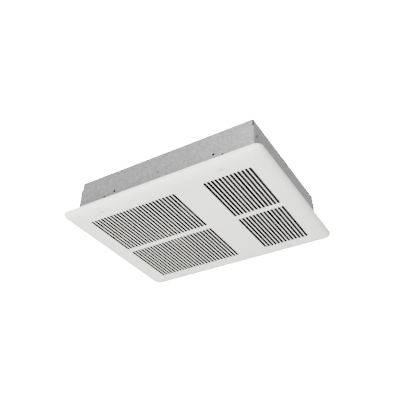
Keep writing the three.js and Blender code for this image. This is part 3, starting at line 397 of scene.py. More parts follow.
# Painted shade: the winding's tape is darkened to a near-black brown so that the coil doesn't show
# inside.
taped_winding = make_ribbed("shade_darkened_brown_tape", "#2E1D15", "#1E120D", 0.55, 6.0, "X", 0.25)
black_sleeve = make_ribbed("black_glass_braid", "#1E1F20", "#101011", 0.6, 1.2, "XY")
# Painted shade: the red lead's braid is darkened almost to black so that it doesn't show inside.
shade_darkened_red_sleeve = make_ribbed("shade_darkened_red_glass_braid", "#2C110F", "#190908", 0.6, 1.2, "XY")

# The aluminised sheet, the fan, the winding and the red lead take colours darkened as painted
# shade.
finishes = {
    "galvanised_sheet": galvanised,
    "white_powder_coat": powder_coat,
    "aluminised_sheet": painted_shade_black,
    "zinc_plated_steel": zinc_plate,
    "lamination_steel": laminations,
    "taped_winding": taped_winding,
    "sintered_bronze": bronze,
    "fan_aluminium": painted_shade_fan_black,
    "element_sheath": sheath,
    "phenolic": phenolic,
    "red_button": red_nylon,
    "green_screw": green_plate,
    "black_lead": black_sleeve,
    "red_lead": shade_darkened_red_sleeve,
}
print("finishes", sorted(finishes))

# %% [markdown]
# Every CAD node that stays gets its finish from the record's slot. Its mesh is loose triangles, so
# live modifiers weld them, melt the flat ones together and round the sharp edges that any real
# fold or cut has. The mesh itself is never changed.

# %% Dress the CAD nodes
SHARP = math.radians(28)
FLAT = math.radians(0.5)
WELDED = 0.01  # mm
CAD_ROUND = 0.25  # mm


def round_edges(thing, width, segments=2, angle=SHARP):
    """A small round along every sharp edge, with the light kept flat on the faces."""
    modifier = thing.modifiers.new("round", "BEVEL")
    modifier.width = width * MM
    modifier.segments = segments
    modifier.limit_method = "ANGLE"
    modifier.angle_limit = angle
    modifier.use_clamp_overlap = True
    modifier.harden_normals = True


def dress_node(node, slot):
    thing = nodes[node]
    thing.data.materials.clear()
    thing.data.materials.append(finishes[slot])
    for face in thing.data.polygons:
        face.use_smooth = True
    weld = thing.modifiers.new("weld", "WELD")
    weld.merge_threshold = WELDED * MM
    melt = thing.modifiers.new("melt", "DECIMATE")
    melt.decimate_type = "DISSOLVE"
    melt.angle_limit = FLAT
    round_edges(thing, CAD_ROUND)


slots = {part["node"]: part["material_slot"] for part in frame["record"]["subparts"]}
for node, slot in slots.items():
    dress_node(node, slot)
# The spider and the bearing bridges take the same near-black painted shade.
for node in ("motor_spider", "bearing_bridge_lower", "bearing_bridge_upper"):
    nodes[node].data.materials[0] = painted_shade_black
print("dressed", len(slots), "nodes")

# %% [markdown]
# New pieces start in a bmesh drawn in millimetres. One function turns a finished bmesh into an
# object: metres, faces outwards, smooth, a finish, a body to ride on and the nodes it stands for.

# %% Piece maker
MEETING = 0.004  # mm, how near two points count as one


def make_piece(name, shape, slot, replaced=(), body="heater_body", outward=True, rounded=0):
    if outward:
        bmesh.ops.recalc_face_normals(shape, faces=shape.faces)
    bmesh.ops.scale(shape, verts=shape.verts, vec=(MM, MM, MM))
    for face in shape.faces:
        face.smooth = True
    mesh = bpy.data.meshes.new(name)
    shape.to_mesh(mesh)
    shape.free()
    mesh.materials.append(finishes[slot])
    piece = put(name, mesh)
    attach(piece, body)
    if replaced:
        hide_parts(*replaced)
    if rounded:
        round_edges(piece, rounded)
    print(name, len(mesh.polygons), "faces")
    return piece


def make_sheet(name, shape, slot, sheet, replaced=()):
    """A piece drawn as its outer face, which gets its thickness behind that face."""
    piece = make_piece(name, shape, slot, replaced, outward=False)
    modifier = piece.modifiers.new("sheet", "SOLIDIFY")
    modifier.thickness = sheet * MM
    modifier.offset = -1
    modifier.use_even_offset = True
    return piece


def merge(*shapes):
    """Puts several bmeshes into the first one and welds what meets."""
    whole = shapes[0]
    for shape in shapes[1:]:
        carrier = bpy.data.meshes.new("carrier")
        shape.to_mesh(carrier)
        shape.free()
        whole.from_mesh(carrier)
        bpy.data.meshes.remove(carrier)
    bmesh.ops.remove_doubles(whole, verts=whole.verts, dist=MEETING)
    return whole


def new_verts(geometry):
    """The points among what an operator returned."""
    return [item for item in geometry if isinstance(item, bmesh.types.BMVert)]


def new_edges(geometry):
    """The edges that run between those points."""
    verts = set(new_verts(geometry))
    edges = [item for item in geometry if isinstance(item, bmesh.types.BMEdge)]
    return [edge for edge in edges if set(edge.verts) <= verts]


def pull(shape, edges, way):
    """Pulls faces out of some edges, and gives the edges where they end."""
    pulled = bmesh.ops.extrude_edge_only(shape, edges=edges)["geom"]
    bmesh.ops.translate(shape, verts=new_verts(pulled), vec=way)
    return new_edges(pulled)


def verts_of(edges):
    return list({vert for edge in edges for vert in edge.verts})


def move(shape, x=0, y=0, z=0):
    bmesh.ops.translate(shape, verts=shape.verts, vec=(x, y, z))
    return shape


def turn(shape, degrees, axis, centre=(0, 0, 0)):
    rotation = Matrix.Rotation(math.radians(degrees), 3, axis)
    bmesh.ops.rotate(shape, verts=shape.verts, cent=centre, matrix=rotation)
    return shape


# %% [markdown]
# Punched sheet is a flat outline with holes in it. A hole is a circle, and a slot is a circle whose
# halves are pulled apart. Filling between the outline and the holes with triangles makes the face
# without working out any vertex by hand.

# %% Punched sheet
FOLD_STEPS = 6
FACING_X = ((0, 1, 0), (0, 0, 1))  # which way an upright sheet's right and up run
FACING_Y = ((1, 0, 0), (0, 0, 1))


def outline_loop(shape, points):
    """A closed loop of straight edges through a few points in the xy plane."""
    corners = [shape.verts.new((x, y, 0)) for x, y in points]
    for start, end in zip(corners, corners[1:] + corners[:1]):
        shape.edges.new((start, end))
    return corners


def rectangle(left, low, right, high):
    return [(left, low), (right, low), (right, high), (left, high)]


def rounded_loop(shape, middle, half, radius, segments=6, z=0.0):
    """A rectangle's loop of edges with rounded corners."""
    known_edges, known_faces = set(shape.edges), set(shape.faces)
    place = Matrix.Translation((*middle, z)) @ Matrix.Diagonal((*half, 1, 1))
    grid = bmesh.ops.create_grid(shape, x_segments=1, y_segments=1, size=1, matrix=place)
    if radius:
        bmesh.ops.bevel(
            shape, geom=grid["verts"], offset=radius, offset_type="OFFSET", segments=segments,
            profile=0.5, affect="VERTICES", material=-1,
        )
    new_faces = [face for face in shape.faces if face not in known_faces]
    bmesh.ops.delete(shape, geom=new_faces, context="FACES_ONLY")
    return [edge for edge in shape.edges if edge not in known_edges]


def punch(shape, x, y, radius, length=0.0, segments=24):
    """A loop of edges for a round hole, or a slot of that length along y."""
    half_step = math.pi / segments
    place = Matrix.Translation((x, y, 0)) @ Matrix.Rotation(half_step, 4, "Z")
    loop = bmesh.ops.create_circle(
        shape, cap_ends=False, segments=segments, radius=radius / math.cos(half_step), matrix=place
    )["verts"]
    if length:
        for side in (-1, 1):
            half = [vert for vert in loop if (vert.co.y - y) * side > 0]
            bmesh.ops.translate(shape, verts=half, vec=(0, side * (length / 2 - radius), 0))
    return loop


def fill_loops(shape, edges=None):
    bmesh.ops.triangle_fill(shape, use_beauty=True, edges=edges or shape.edges[:], normal=(0, 0, 1))
    return shape


def punched_sheet(outline, holes=(), draw=outline_loop):
    """A flat sheet in the xy plane: its outline, and holes given as (x, y, radius[, length])."""
    shape = bmesh.new()
    draw(shape, outline)
    for hole in holes:
        punch(shape, *hole)
    return fill_loops(shape)


def rounded_plate(middle, half, radius, holes=()):
    """The same with rounded corners."""
    return punched_sheet(middle, holes, lambda shape, at: rounded_loop(shape, at, half, radius))


def slab(shape, height):
    """Gives a flat sheet a height along z and closes it."""
    bottom = shape.faces[:]
    raised = bmesh.ops.extrude_face_region(shape, geom=bottom, use_keep_orig=True)["geom"]
    bmesh.ops.translate(shape, verts=new_verts(raised), vec=(0, 0, height))
    return shape


def top_face(shape):
    return max(shape.faces, key=lambda face: face.calc_center_median().z), (0, 0, 1)


def bottom_face(shape):
    return min(shape.faces, key=lambda face: face.calc_center_median().z), (0, 0, -1)


def face_out(shape, find_face):
    """Makes an open sheet's faces agree, so that the one that find_face picks looks its way."""
    bmesh.ops.recalc_face_normals(shape, faces=shape.faces)
    face, way = find_face(shape)
    if face.normal.dot(Vector(way)) < 0:
        bmesh.ops.reverse_faces(shape, faces=shape.faces)
    return shape


def stand(shape, right, up, place):
    """Turns a sheet drawn in xy so that its x runs along right and its y along up."""
    right, up = Vector(right), Vector(up)
    turned = Matrix((right, up, right.cross(up))).transposed().to_4x4()
    bmesh.ops.transform(shape, matrix=Matrix.Translation(place) @ turned, verts=shape.verts)
    return shape


def bend(start, end, centre, axis):
    """The outer face of a fold: an edge swept a quarter turn round the fold's centre."""
    shape = bmesh.new()
    edge = shape.edges.new((shape.verts.new(start), shape.verts.new(end)))
    bmesh.ops.spin(
        shape, geom=[*edge.verts, edge], cent=centre, axis=axis,
        angle=math.pi / 2, steps=FOLD_STEPS,
    )
    return shape


def turned(profile, segments=32):
    """A body of revolution about z, from a profile of (radius, z)."""
    shape = bmesh.new()
    line = [shape.verts.new((radius, 0, z)) for radius, z in profile]
    edges = [shape.edges.new(pair) for pair in zip(line, line[1:])]
    bmesh.ops.spin(
        shape, geom=line + edges, cent=(0, 0, 0), axis=(0, 0, 1),
        angle=2 * math.pi, steps=segments, use_merge=True,
    )
    bmesh.ops.remove_doubles(shape, verts=shape.verts, dist=0.001)
    return shape


# %% [markdown]
# The panel is one pressed sheet. Its pressed edge is a quarter ellipse, 28 mm wide and 14.5 mm
# deep, between the ceiling and the flat face. Insetting one face again and again would pinch the
# corners, so the edge is drawn as rounded loops, each a little smaller and lower than the last,
# and bridged. The screws sit right where the edge begins, so the curved strips there are taken out
# and filled again together with the flat face, its slots and its dimples.

# %% The slotted panel
PANEL_HALF = (255, 197)
PANEL_X = 3
PANEL_CORNERS = (17, 5)  # at the ceiling and at the flat face
PANEL_EDGE = 28
PANEL_DEPTH = 14.5
PANEL_SHEET = 0.8
SLOT_PITCH = 8.9
SLOT_WIDTH = 6.6
SLOT_LENGTH = 144.5
SLOT_ROW_Y = 78.5
FIRST_INTAKE, INTAKE_SLOTS = -196.5, 26
FIRST_OUTLET, OUTLET_SLOTS = 104.2, 13
SCREW_X = 155
SCREW_Y = 170.5
SCREW_HOLE = 2.35
DIMPLE = ((6.2, None), (4.9, -13.1), (SCREW_HOLE, -13.1))  # radius and height of each ring
PAD_HALF = 9
EDGE_ANGLES = (0, 9, 18, 27, 36, 45, 54, 62, 71.25, 81, 90)
PAD_ANGLE = 71.25  # the pads reach out to this line of the edge
CORNER_STEPS, HOLE_STEPS, SLOT_STEPS = 12, 28, 12
SLOT_FIELDS = ((FIRST_INTAKE, INTAKE_SLOTS), (FIRST_OUTLET, OUTLET_SLOTS))
SCREW_ROW = (PANEL_X - SCREW_X, PANEL_X + SCREW_X)


def edge_point(degrees):
    """How far in and how low the pressed edge is at an angle of its ellipse."""
    angle = math.radians(degrees)
    return PANEL_EDGE * (1 - math.cos(angle)), -PANEL_DEPTH * math.sin(angle)


def edge_height(y):
    """How low the pressed face lies at a distance y from the panel's long axis."""
    past = max(0.0, abs(y) - (PANEL_HALF[1] - PANEL_EDGE))
    return -PANEL_DEPTH * math.sqrt(1 - (past / PANEL_EDGE) ** 2)


def draw_edge(shape):
    last = None
    for angle in EDGE_ANGLES:
        inset, height = edge_point(angle)
        share = inset / PANEL_EDGE
        radius = PANEL_CORNERS[0] * (1 - share) + PANEL_CORNERS[1] * share
        half = [size - inset for size in PANEL_HALF]
        loop = rounded_loop(shape, (0, 0), half, radius, CORNER_STEPS, height)
        if last:
            bmesh.ops.bridge_loops(shape, edges=last + loop)
        last = loop


def clear_pads(shape):
    """Opens the pressed edge beside each screw, out to the line of PAD_ANGLE."""
    for middle, side in ((-SCREW_X, -1), (-SCREW_X, 1), (SCREW_X, -1), (SCREW_X, 1)):
        x = middle + side * PAD_HALF
        bmesh.ops.bisect_plane(
            shape, geom=shape.verts[:] + shape.edges[:] + shape.faces[:],
            plane_co=(x, 0, 0), plane_no=(1, 0, 0),
        )
    top = edge_point(PAD_ANGLE)[1]
    pads = [
        face for face in shape.faces
        if face.calc_center_median().z < top
        and abs(abs(face.calc_center_median().x) - SCREW_X) < PAD_HALF
    ]
    bmesh.ops.delete(shape, geom=pads, context="FACES")


def press_dimple(shape, x, y):
    """A shallow seat for a screw, from its rim to its hole."""
    rim = punch(shape, x, y, DIMPLE[0][0], segments=HOLE_STEPS)
    edges = [edge for edge in shape.edges if edge.verts[0] in rim and edge.verts[1] in rim]
    for vert in rim:
        vert.co.z = edge_height(vert.co.y)
    for radius, level in DIMPLE[1:]:
        edges = pull(shape, edges, (0, 0, 0))
        for vert in verts_of(edges):
            out = Vector((vert.co.x - x, vert.co.y - y)).normalized() * radius
            vert.co = (x + out.x, y + out.y, level)


def make_panel():
    shape = bmesh.new()
    draw_edge(shape)
    clear_pads(shape)
    for x in (-SCREW_X, SCREW_X):
        for y in (-SCREW_Y, SCREW_Y):
            press_dimple(shape, x, y)
    for first, count in SLOT_FIELDS:
        for row in (-SLOT_ROW_Y, SLOT_ROW_Y):
            for i in range(count):
                x = first + i * SLOT_PITCH - PANEL_X
                loop = punch(shape, x, row, SLOT_WIDTH / 2, SLOT_LENGTH, SLOT_STEPS)
                bmesh.ops.translate(shape, verts=loop, vec=(0, 0, -PANEL_DEPTH))
    open_edges = []
    for edge in shape.edges:
        middle = (edge.verts[0].co + edge.verts[1].co) / 2
        from_hole = math.hypot(abs(middle.x) - SCREW_X, abs(middle.y) - SCREW_Y)
        if len(edge.link_faces) < 2 and middle.z < -0.01 and from_hole > SCREW_HOLE + 0.5:
            open_edges.append(edge)
    fill_loops(shape, open_edges)
    return move(face_out(shape, bottom_face), x=PANEL_X)


panel_shape = make_panel()
panel = make_sheet(
    "slotted_panel", panel_shape, "white_powder_coat", PANEL_SHEET, ["grille_panel"]
)
round_edges(panel, 0.2, 2, math.radians(40))

# %% [markdown]
# The panel stands 12 mm below the housing's mouth. Two folded strips on its back, one round each
# field of slots, close that gap, so that air doesn't pass from one field to the other and no light
# shows from behind. Each is an open line pulled up from the panel, with a foot that lies on it.

# %% The strips on the panel's back
STRIP_FOOT_Z = -13.6
STRIP_TOP_Z = -1.6
STRIP_FOOT = 5
STRIP_SHEET = 0.8
STRIP_Y = 160.5
STRIP_FIELDS = {"intake": (32.5, -225.5), "outlet": (97.5, 225.5)}  # open end and closed end


def make_strip(open_x, closed_x):
    """A U in plan, drawn along its upright's outer face, with the foot turned inwards."""
    shape = bmesh.new()
    way = 1 if open_x > closed_x else -1
    lines = []
    for inset in (0, STRIP_FOOT):
        points = [(open_x, STRIP_Y - inset), (closed_x + way * inset, STRIP_Y - inset)]
        points += [(x, -y) for x, y in reversed(points)]
        verts = [shape.verts.new((x, y, STRIP_FOOT_Z)) for x, y in points]
        lines.append([shape.edges.new(pair) for pair in zip(verts, verts[1:])])
    upright, foot = lines
    bmesh.ops.bridge_loops(shape, edges=upright + foot)
    pull(shape, upright, (0, 0, STRIP_TOP_Z - STRIP_FOOT_Z))
    return face_out(shape, bottom_face)


# The strips take the near-black painted shade as well.
for field, (open_x, closed_x) in STRIP_FIELDS.items():
    strip_shape = make_strip(open_x, closed_x)
    make_sheet(f"{field}_strip", strip_shape, "aluminised_sheet", STRIP_SHEET)

# %% [markdown]
# The housing is one folded box, open below. The top's edges fold down into the long walls and the
# end plates. The long walls' ends turn in as flanges behind the end plates, which lap over them,
# and above the lap each top corner stays open as a slit. Tabs folded out at the mouth take the
# panel's screws. The sheet is drawn as its outer face, patch by patch, then thickened inwards. Its
# inner faces get painted shade: they are coloured near black so that the inside reads dark.

# %% The housing
HOUSING_HALF = (231, 164)
HOUSING_TOP = 99.95  # the round keeps the sheet inside 100
SHEET = 1
FOLD = 2.5  # outer radius
MOUTH = -1
WALL_END = 229.6
LAP_TOP = 80
FLANGE = 24
OVERHANG = 0.6
SLIT = 1  # how far the end plate's upper corner is cut back
NOTCH = 0.4  # between the flange's end and the lap's
RIVET_Y, RIVET_Z = 150, 59.5
RIVET_HOLE = 1.95
WALL_HOLES = ((-128.5, 41.5, 3.2), (134.5, 41.5, 3.2), (-156.5, 33, 3.2), (156.5, 33, 3.2))
DECK_RIVET = (-8, 50.5)
KNOCKOUTS = (48.85, 80.85)
KNOCKOUT_Z = 22
KNOCKOUT_RADIUS, KNOCKOUT_STEPS = 11, 40
TAB = (12, 16)  # half width and reach
TAB_CHAMFER = 3
TOP_HALF = (HOUSING_HALF[0] - FOLD, HOUSING_HALF[1] - FOLD)


def long_wall(side):
    foot = []
    for x in SCREW_ROW:
        foot += [(x - TAB[0], MOUTH), (x - TAB[0], 0), (x + TAB[0], 0), (x + TAB[0], MOUTH)]
    left = [
        (-TOP_HALF[0], HOUSING_TOP - FOLD), (-TOP_HALF[0], LAP_TOP + NOTCH),
        (-WALL_END, LAP_TOP - NOTCH), (-WALL_END, MOUTH),
    ]
    right = [(-x, z) for x, z in reversed(left)]
    holes = [(*DECK_RIVET, RIVET_HOLE)]
    if side < 0:
        holes += WALL_HOLES
    else:
        holes += [(x, KNOCKOUT_Z, KNOCKOUT_RADIUS, 0, KNOCKOUT_STEPS) for x in KNOCKOUTS]
    wall = punched_sheet(left + foot + right, holes)
    return stand(wall, *FACING_Y, (0, side * HOUSING_HALF[1], 0))


def screw_tab(x, side):
    half, reach = TAB
    outline = [(x - half, 0), (x - half, reach - TAB_CHAMFER), (x - half + TAB_CHAMFER, reach)]
    outline += [(2 * x - a, b) for a, b in reversed(outline)]
    tab = punched_sheet(outline, [(x, SCREW_Y - HOUSING_HALF[1], SCREW_HOLE)])
    return stand(tab, (1, 0, 0), (0, side, 0), (0, side * HOUSING_HALF[1], 0))


def end_flange(end, side):
    y, top = HOUSING_HALF[1], LAP_TOP - NOTCH
    outline = rectangle(y - FLANGE, MOUTH, y, top)
    flange = punched_sheet(outline, [(RIVET_Y, RIVET_Z, RIVET_HOLE)])
    return stand(flange, (0, side, 0), (0, 0, 1), (end * WALL_END, 0, 0))


def end_plate(end):
    narrow, wide = TOP_HALF[1], HOUSING_HALF[1] + OVERHANG
    slit, high = narrow - SLIT, HOUSING_TOP - FOLD
    half = [(narrow, high), (slit, high - SLIT), (slit, LAP_TOP), (wide, LAP_TOP), (wide, MOUTH)]
    outline = half + [(-y, z) for y, z in reversed(half)]
    plate = punched_sheet(outline, [(y, RIVET_Z, RIVET_HOLE) for y in (-RIVET_Y, RIVET_Y)])
    return stand(plate, *FACING_X, (end * HOUSING_HALF[0], 0, 0))


def make_housing():
    (x, y), top = TOP_HALF, HOUSING_TOP
    parts = [move(punched_sheet(rectangle(-x, -y, x, y)), z=top)]
    for side in (-1, 1):
        edge = side * y
        parts.append(long_wall(side))
        parts.append(bend((-x, edge, top), (x, edge, top), (0, edge, top - FOLD), (-side, 0, 0)))
        parts += [screw_tab(place, side) for place in SCREW_ROW]
        parts += [end_flange(end, side) for end in (-1, 1)]
    for end in (-1, 1):
        edge = end * x
        parts.append(end_plate(end))
        parts.append(bend((edge, -y, top), (edge, y, top), (edge, 0, top - FOLD), (0, end, 0)))
    return merge(*parts)


housing_shape = face_out(make_housing(), top_face)
housing = make_sheet("folded_housing", housing_shape, "galvanised_sheet", SHEET, ["housing"])
# The faces inside take the near-black painted shade.
housing.data.materials.append(painted_shade_black)  # the faces inside
housing.modifiers["sheet"].material_offset = 1
round_edges(housing, 0.18, 2, math.radians(35))

# %% [markdown]
# Rivets and screws are turned parts: a profile of radius and height is spun once round. A blind
# rivet keeps the pit where its mandrel broke off. A cross-recess screw's flat top is filled round a
# cross, and the cross is pushed down into the head.

# %% Rivets
ENDS = ((-1, "left"), (1, "right"))
SIDES = ((-1, "front"), (1, "rear"))
RIVET_GAP = 0.3  # the head stands a little off the sheet
RIVET_PROFILE = (
    (0, 0.5), (0.7, 0.5), (0.85, 0.95), (1.5, 1.08), (2.4, 0.85), (3.05, 0.4), (3.2, 0),
    (1.6, 0), (1.6, -3.6), (1.3, -4), (0, -4),
)


def aim(shape, direction, place):
    """Turns a part that is drawn along z to a direction, and puts its origin in place."""
    turned_to = Vector(direction).to_track_quat("Z", "Y").to_matrix().to_4x4()
    bmesh.ops.transform(shape, matrix=Matrix.Translation(place) @ turned_to, verts=shape.verts)
    return shape


def set_rivet(name, node, direction, place):
    head = aim(turned(RIVET_PROFILE), direction, place)
    rivet = make_piece(name, head, "zinc_plated_steel", [node])
    rivet.data.materials[0] = rivet_steel


for end, end_name in ENDS:
    for side, side_name in SIDES:
        place = (end * (HOUSING_HALF[0] + RIVET_GAP), side * RIVET_Y, RIVET_Z)
        ending = f"rivet_{end_name}_{side_name}"
        set_rivet(f"blind_{ending}", f"corner_{ending}", (end, 0, 0), place)
for side, side_name in SIDES:
    place = (DECK_RIVET[0], side * (HOUSING_HALF[1] + RIVET_GAP), DECK_RIVET[1])
    set_rivet(f"blind_deck_rivet_{side_name}", f"deck_rivet_{side_name}", (0, side, 0), place)

# %% Screws
SCREW_SHANK, SCREW_TIP, SCREW_ROUND = 2, 2, 0.12
CROSS_WIDTH, CROSS_TAPER = 0.28, 0.6
PANEL_SCREW = (4.1, 2.3, 19.4)  # the head's radius and height, the length below it
PANEL_SCREW_Z = DIMPLE[-1][1] - 0.3
FIRST_TURN, NEXT_TURN = 20, 35  # degrees: no two crosses end up alike


def cross_top(flat, arm, height, depth):
    """A round flat top with a cross pushed into it."""
    half = arm * CROSS_WIDTH
    quarter = [(arm, -half), (arm, half), (half, half)]
    points = []
    for _ in range(4):
        points += quarter
        quarter = [(-y, x) for x, y in quarter]
    top = bmesh.new()
    bmesh.ops.create_circle(top, cap_ends=False, segments=32, radius=flat)
    cross = outline_loop(top, points)
    edges = [edge for edge in top.edges if edge.verts[0] in cross]
    fill_loops(top)
    sunk = pull(top, edges, (0, 0, -depth))
    bmesh.ops.scale(top, verts=verts_of(sunk), vec=(CROSS_TAPER, CROSS_TAPER, 1))
    bmesh.ops.contextual_create(top, geom=sunk)
    return move(top, z=height)


def pan_screw(radius, height, length):
    """Head up, seated at z = 0."""
    flat = radius * 0.55
    profile = [
        (flat, height), (radius * 0.8, height * 0.9), (radius * 0.96, height * 0.6),
        (radius, height * 0.25), (radius, 0), (SCREW_SHANK, 0),
        (SCREW_SHANK, SCREW_TIP - length), (0, -length),
    ]
    return merge(turned(profile), cross_top(flat, radius * 0.58, height, height * 0.65))


def hex_screw(radius, height, length):
    """Hexagon head up, seated at z = 0."""
    head = bmesh.new()
    bmesh.ops.create_circle(head, cap_ends=True, segments=6, radius=radius)
    slab(head, height)
    profile = [
        (0, 0.2), (SCREW_SHANK, 0.2), (SCREW_SHANK, 0.4 - length),
        (SCREW_SHANK - 0.4, -length), (0, -length),
    ]
    return merge(head, turned(profile, 20))


for i, (y, x) in enumerate((y, x) for y in (-SCREW_Y, SCREW_Y) for x in SCREW_ROW):
    screw = aim(pan_screw(*PANEL_SCREW), (0, 0, -1), (x, y, PANEL_SCREW_Z))
    turn(screw, FIRST_TURN + NEXT_TURN * i, "Z", (x, y, 0))
    piece = make_piece(f"cross_screw_{i + 1}", screw, "white_powder_coat", [f"panel_screw_{i + 1}"])
    # The heads take the greyer white, which is painted shade.
    piece.data.materials[0] = shade_greyed_enamel
    round_edges(piece, SCREW_ROUND)

# %% [markdown]
# Two discs in the rear wall are cut almost through, so that one can be knocked out for the supply's
# clamp. Each disc hangs on two narrow ties that bridge the cut.

# %% Knockouts
SLUG_RADIUS = 10.7
SLUG_EDGE = 0.2  # rounded off
TIE_HALF = (1, 0.4)
TIE_DEPTH = 0.7
TIE_SUNK = 0.15  # the ties lie a little below the wall's face

for i, x in enumerate(KNOCKOUTS):
    profile = [
        (0, 0), (SLUG_RADIUS - SLUG_EDGE, 0), (SLUG_RADIUS, -SLUG_EDGE),
        (SLUG_RADIUS, SLUG_EDGE - SHEET), (SLUG_RADIUS - SLUG_EDGE, -SHEET), (0, -SHEET),
    ]
    slug = aim(turned(profile, 48), (0, 1, 0), (x, HOUSING_HALF[1], KNOCKOUT_Z))
    for end in (-1, 1):
        (a, b), z = TIE_HALF, KNOCKOUT_Z + end * (SLUG_RADIUS + TIE_SUNK)
        tie = slab(punched_sheet(rectangle(-a, -b, a, b)), -TIE_DEPTH)
        slug = merge(slug, aim(tie, (0, 1, 0), (x, HOUSING_HALF[1] - TIE_SUNK, z)))
    make_piece(f"knockout_disc_{i + 1}", slug, "galvanised_sheet", [f"knockout_slug_{i + 1}"])

# %% [markdown]
# The fan deck is one sheet across the housing. Its rim folds up against the walls, and the hole for
# the fan is drawn up into a bell mouth, which leads the air in without tearing it.

# %% The fan deck
FAN_X = -85.25
DECK_Z = 45
DECK_LEFT, DECK_RIGHT = -227.9, 95.7
DECK_SIDE = 162.3
DECK_FOLD = 2
DECK_TOP = 58
DECK_END_HALF = 138
BELL_MOUTH, THROAT, COLLAR_TOP = 112, 103, 64
SPIDER_ARMS = (52, 128, 232, 308)
SPIDER_SCREW_R = 118
GROUND_SCREW = (64.85, 140)
COVER_SCREWS = ((39, -130), (90.7, 130))
ROUND_STEPS = 96
SMALL_SCREW = (3.4, 1.8, 6)  # the head's radius and height, the length below it
SPIDER_FACE, COVER_FACE, GROUND_FACE, CORE_FACE = 42.9, -9.6, 43.4, 45  # under the heads
MOTOR_SCREW_X = 24.5


def spider_places():
    for degrees in SPIDER_ARMS:
        angle = math.radians(degrees)
        yield FAN_X + SPIDER_SCREW_R * math.cos(angle), SPIDER_SCREW_R * math.sin(angle)


def make_deck():
    left, right, side = DECK_LEFT + DECK_FOLD, DECK_RIGHT, DECK_SIDE - DECK_FOLD
    low, half = DECK_Z + DECK_FOLD, DECK_END_HALF
    plate = bmesh.new()
    outline_loop(plate, [*rectangle(left, -side, right, side), (left, half), (left, -half)])
    throat = Matrix.Translation((FAN_X, 0, 0))
    bmesh.ops.create_circle(
        plate, cap_ends=False, segments=ROUND_STEPS, radius=BELL_MOUTH, matrix=throat
    )
    for place in (*spider_places(), GROUND_SCREW):
        punch(plate, *place, SCREW_HOLE, segments=16)
    parts = [move(fill_loops(plate), z=DECK_Z)]
    for way in (-1, 1):
        edge = way * side
        start, end, centre = (left, edge, DECK_Z), (right, edge, DECK_Z), (0, edge, low)
        parts.append(bend(start, end, centre, (way, 0, 0)))
        outline = rectangle(left, low, right, DECK_TOP)
        flange = punched_sheet(outline, [(*DECK_RIVET, RIVET_HOLE)])
        parts.append(stand(flange, *FACING_Y, (0, way * DECK_SIDE, 0)))
    parts.append(bend((left, -half, DECK_Z), (left, half, DECK_Z), (left, 0, low), (0, 1, 0)))
    flange = punched_sheet(rectangle(-half, low, half, DECK_TOP))
    parts.append(stand(flange, *FACING_X, (DECK_LEFT, 0, 0)))
    radius = BELL_MOUTH - THROAT
    bell = [
        (BELL_MOUTH - radius * math.sin(angle), DECK_Z + radius * (1 - math.cos(angle)))
        for angle in [math.radians(15 * step) for step in range(7)]
    ]
    parts.append(move(turned([*bell, (THROAT, COLLAR_TOP)], ROUND_STEPS), x=FAN_X))
    return merge(*parts)


# The deck's near-black colour, from its slot's finish, is painted shade.
deck_shape = face_out(make_deck(), bottom_face)
deck = make_sheet("bell_mouth_deck", deck_shape, "aluminised_sheet", SHEET, ["fan_deck"])
round_edges(deck, 0.15, 1, math.radians(40))
small_screws = [("spider", i, (*place, SPIDER_FACE)) for i, place in enumerate(spider_places())]
small_screws += [("cover", i, (*place, COVER_FACE)) for i, place in enumerate(COVER_SCREWS)]
for holder, i, place in small_screws:
    screw = aim(pan_screw(*SMALL_SCREW), (0, 0, -1), place)
    node = f"{holder}_screw_{i + 1}"
    make_piece(f"{holder}_cross_screw_{i + 1}", screw, "zinc_plated_steel", [node])
ground = aim(hex_screw(4.04, 3, 5), (0, 0, -1), (*GROUND_SCREW, GROUND_FACE))
make_piece("ground_hex_screw", ground, "green_screw", ["ground_screw"], rounded=0.3)
for way, side_name in ENDS:
    screw = aim(hex_screw(3.6, 2, 39.2), (0, 0, 1), (FAN_X + way * MOTOR_SCREW_X, 0, CORE_FACE))
    name, node = f"motor_hex_screw_{side_name}", f"motor_screw_{side_name}"
    make_piece(name, screw, "zinc_plated_steel", [node], rounded=0.25)

# %% [markdown]
# The fan is pressed from sheet: a spun cup with a boss for the bush, and five blades set on its
# wall. A blade starts as a flat grid. Every point of the grid is then bent to its radius, pitch and
# camber, which keeps the rows even, and the sheet is thickened afterwards.

# %% The fan
FAN_Z = 62
FAN_RADIUS = 98
CUP_RADIUS, CUP_HALF, CUP_WALL = 24, 10, 1.4
BOSS_RADIUS, BOSS_WALL = 6.3, 3
BLADES = 5
BLADE_SHEET = 1.2
CHORDS = (34, 60)
PITCHES = (38, 24)
CAMBER = 2.2
SWEEP = 10
TIP_START = 0.8  # from here the chord rounds off towards the tip
TIP_LOSS = 0.24
BLADE_STEPS = (16, 12)


def blade_point(share, along):
    """A blade's point at a share of its reach and of its chord, both from the middle of the fan."""
    radius = CUP_RADIUS - CUP_WALL / 2 + share * (FAN_RADIUS - CUP_RADIUS + CUP_WALL / 2)
    past = max(0.0, share - TIP_START) / (1 - TIP_START)
    chord = (CHORDS[0] + (CHORDS[1] - CHORDS[0]) * share) * (1 - TIP_LOSS * past ** 2.5)
    pitch = math.radians(PITCHES[0] + (PITCHES[1] - PITCHES[0]) * share)
    height = FAN_Z - along * chord * math.sin(pitch) + CAMBER * (1 - 4 * along * along)
    angle = math.radians(SWEEP) * share + along * chord * math.cos(pitch) / radius
    return Vector((radius * math.cos(angle), radius * math.sin(angle), height))


def make_blade():
    blade = bmesh.new()
    bmesh.ops.create_grid(blade, x_segments=BLADE_STEPS[0], y_segments=BLADE_STEPS[1], size=0.5)
    for vert in blade.verts:
        vert.co = blade_point(vert.co.x + 0.5, vert.co.y)
    bmesh.ops.solidify(blade, geom=blade.faces[:], thickness=BLADE_SHEET)
    return blade


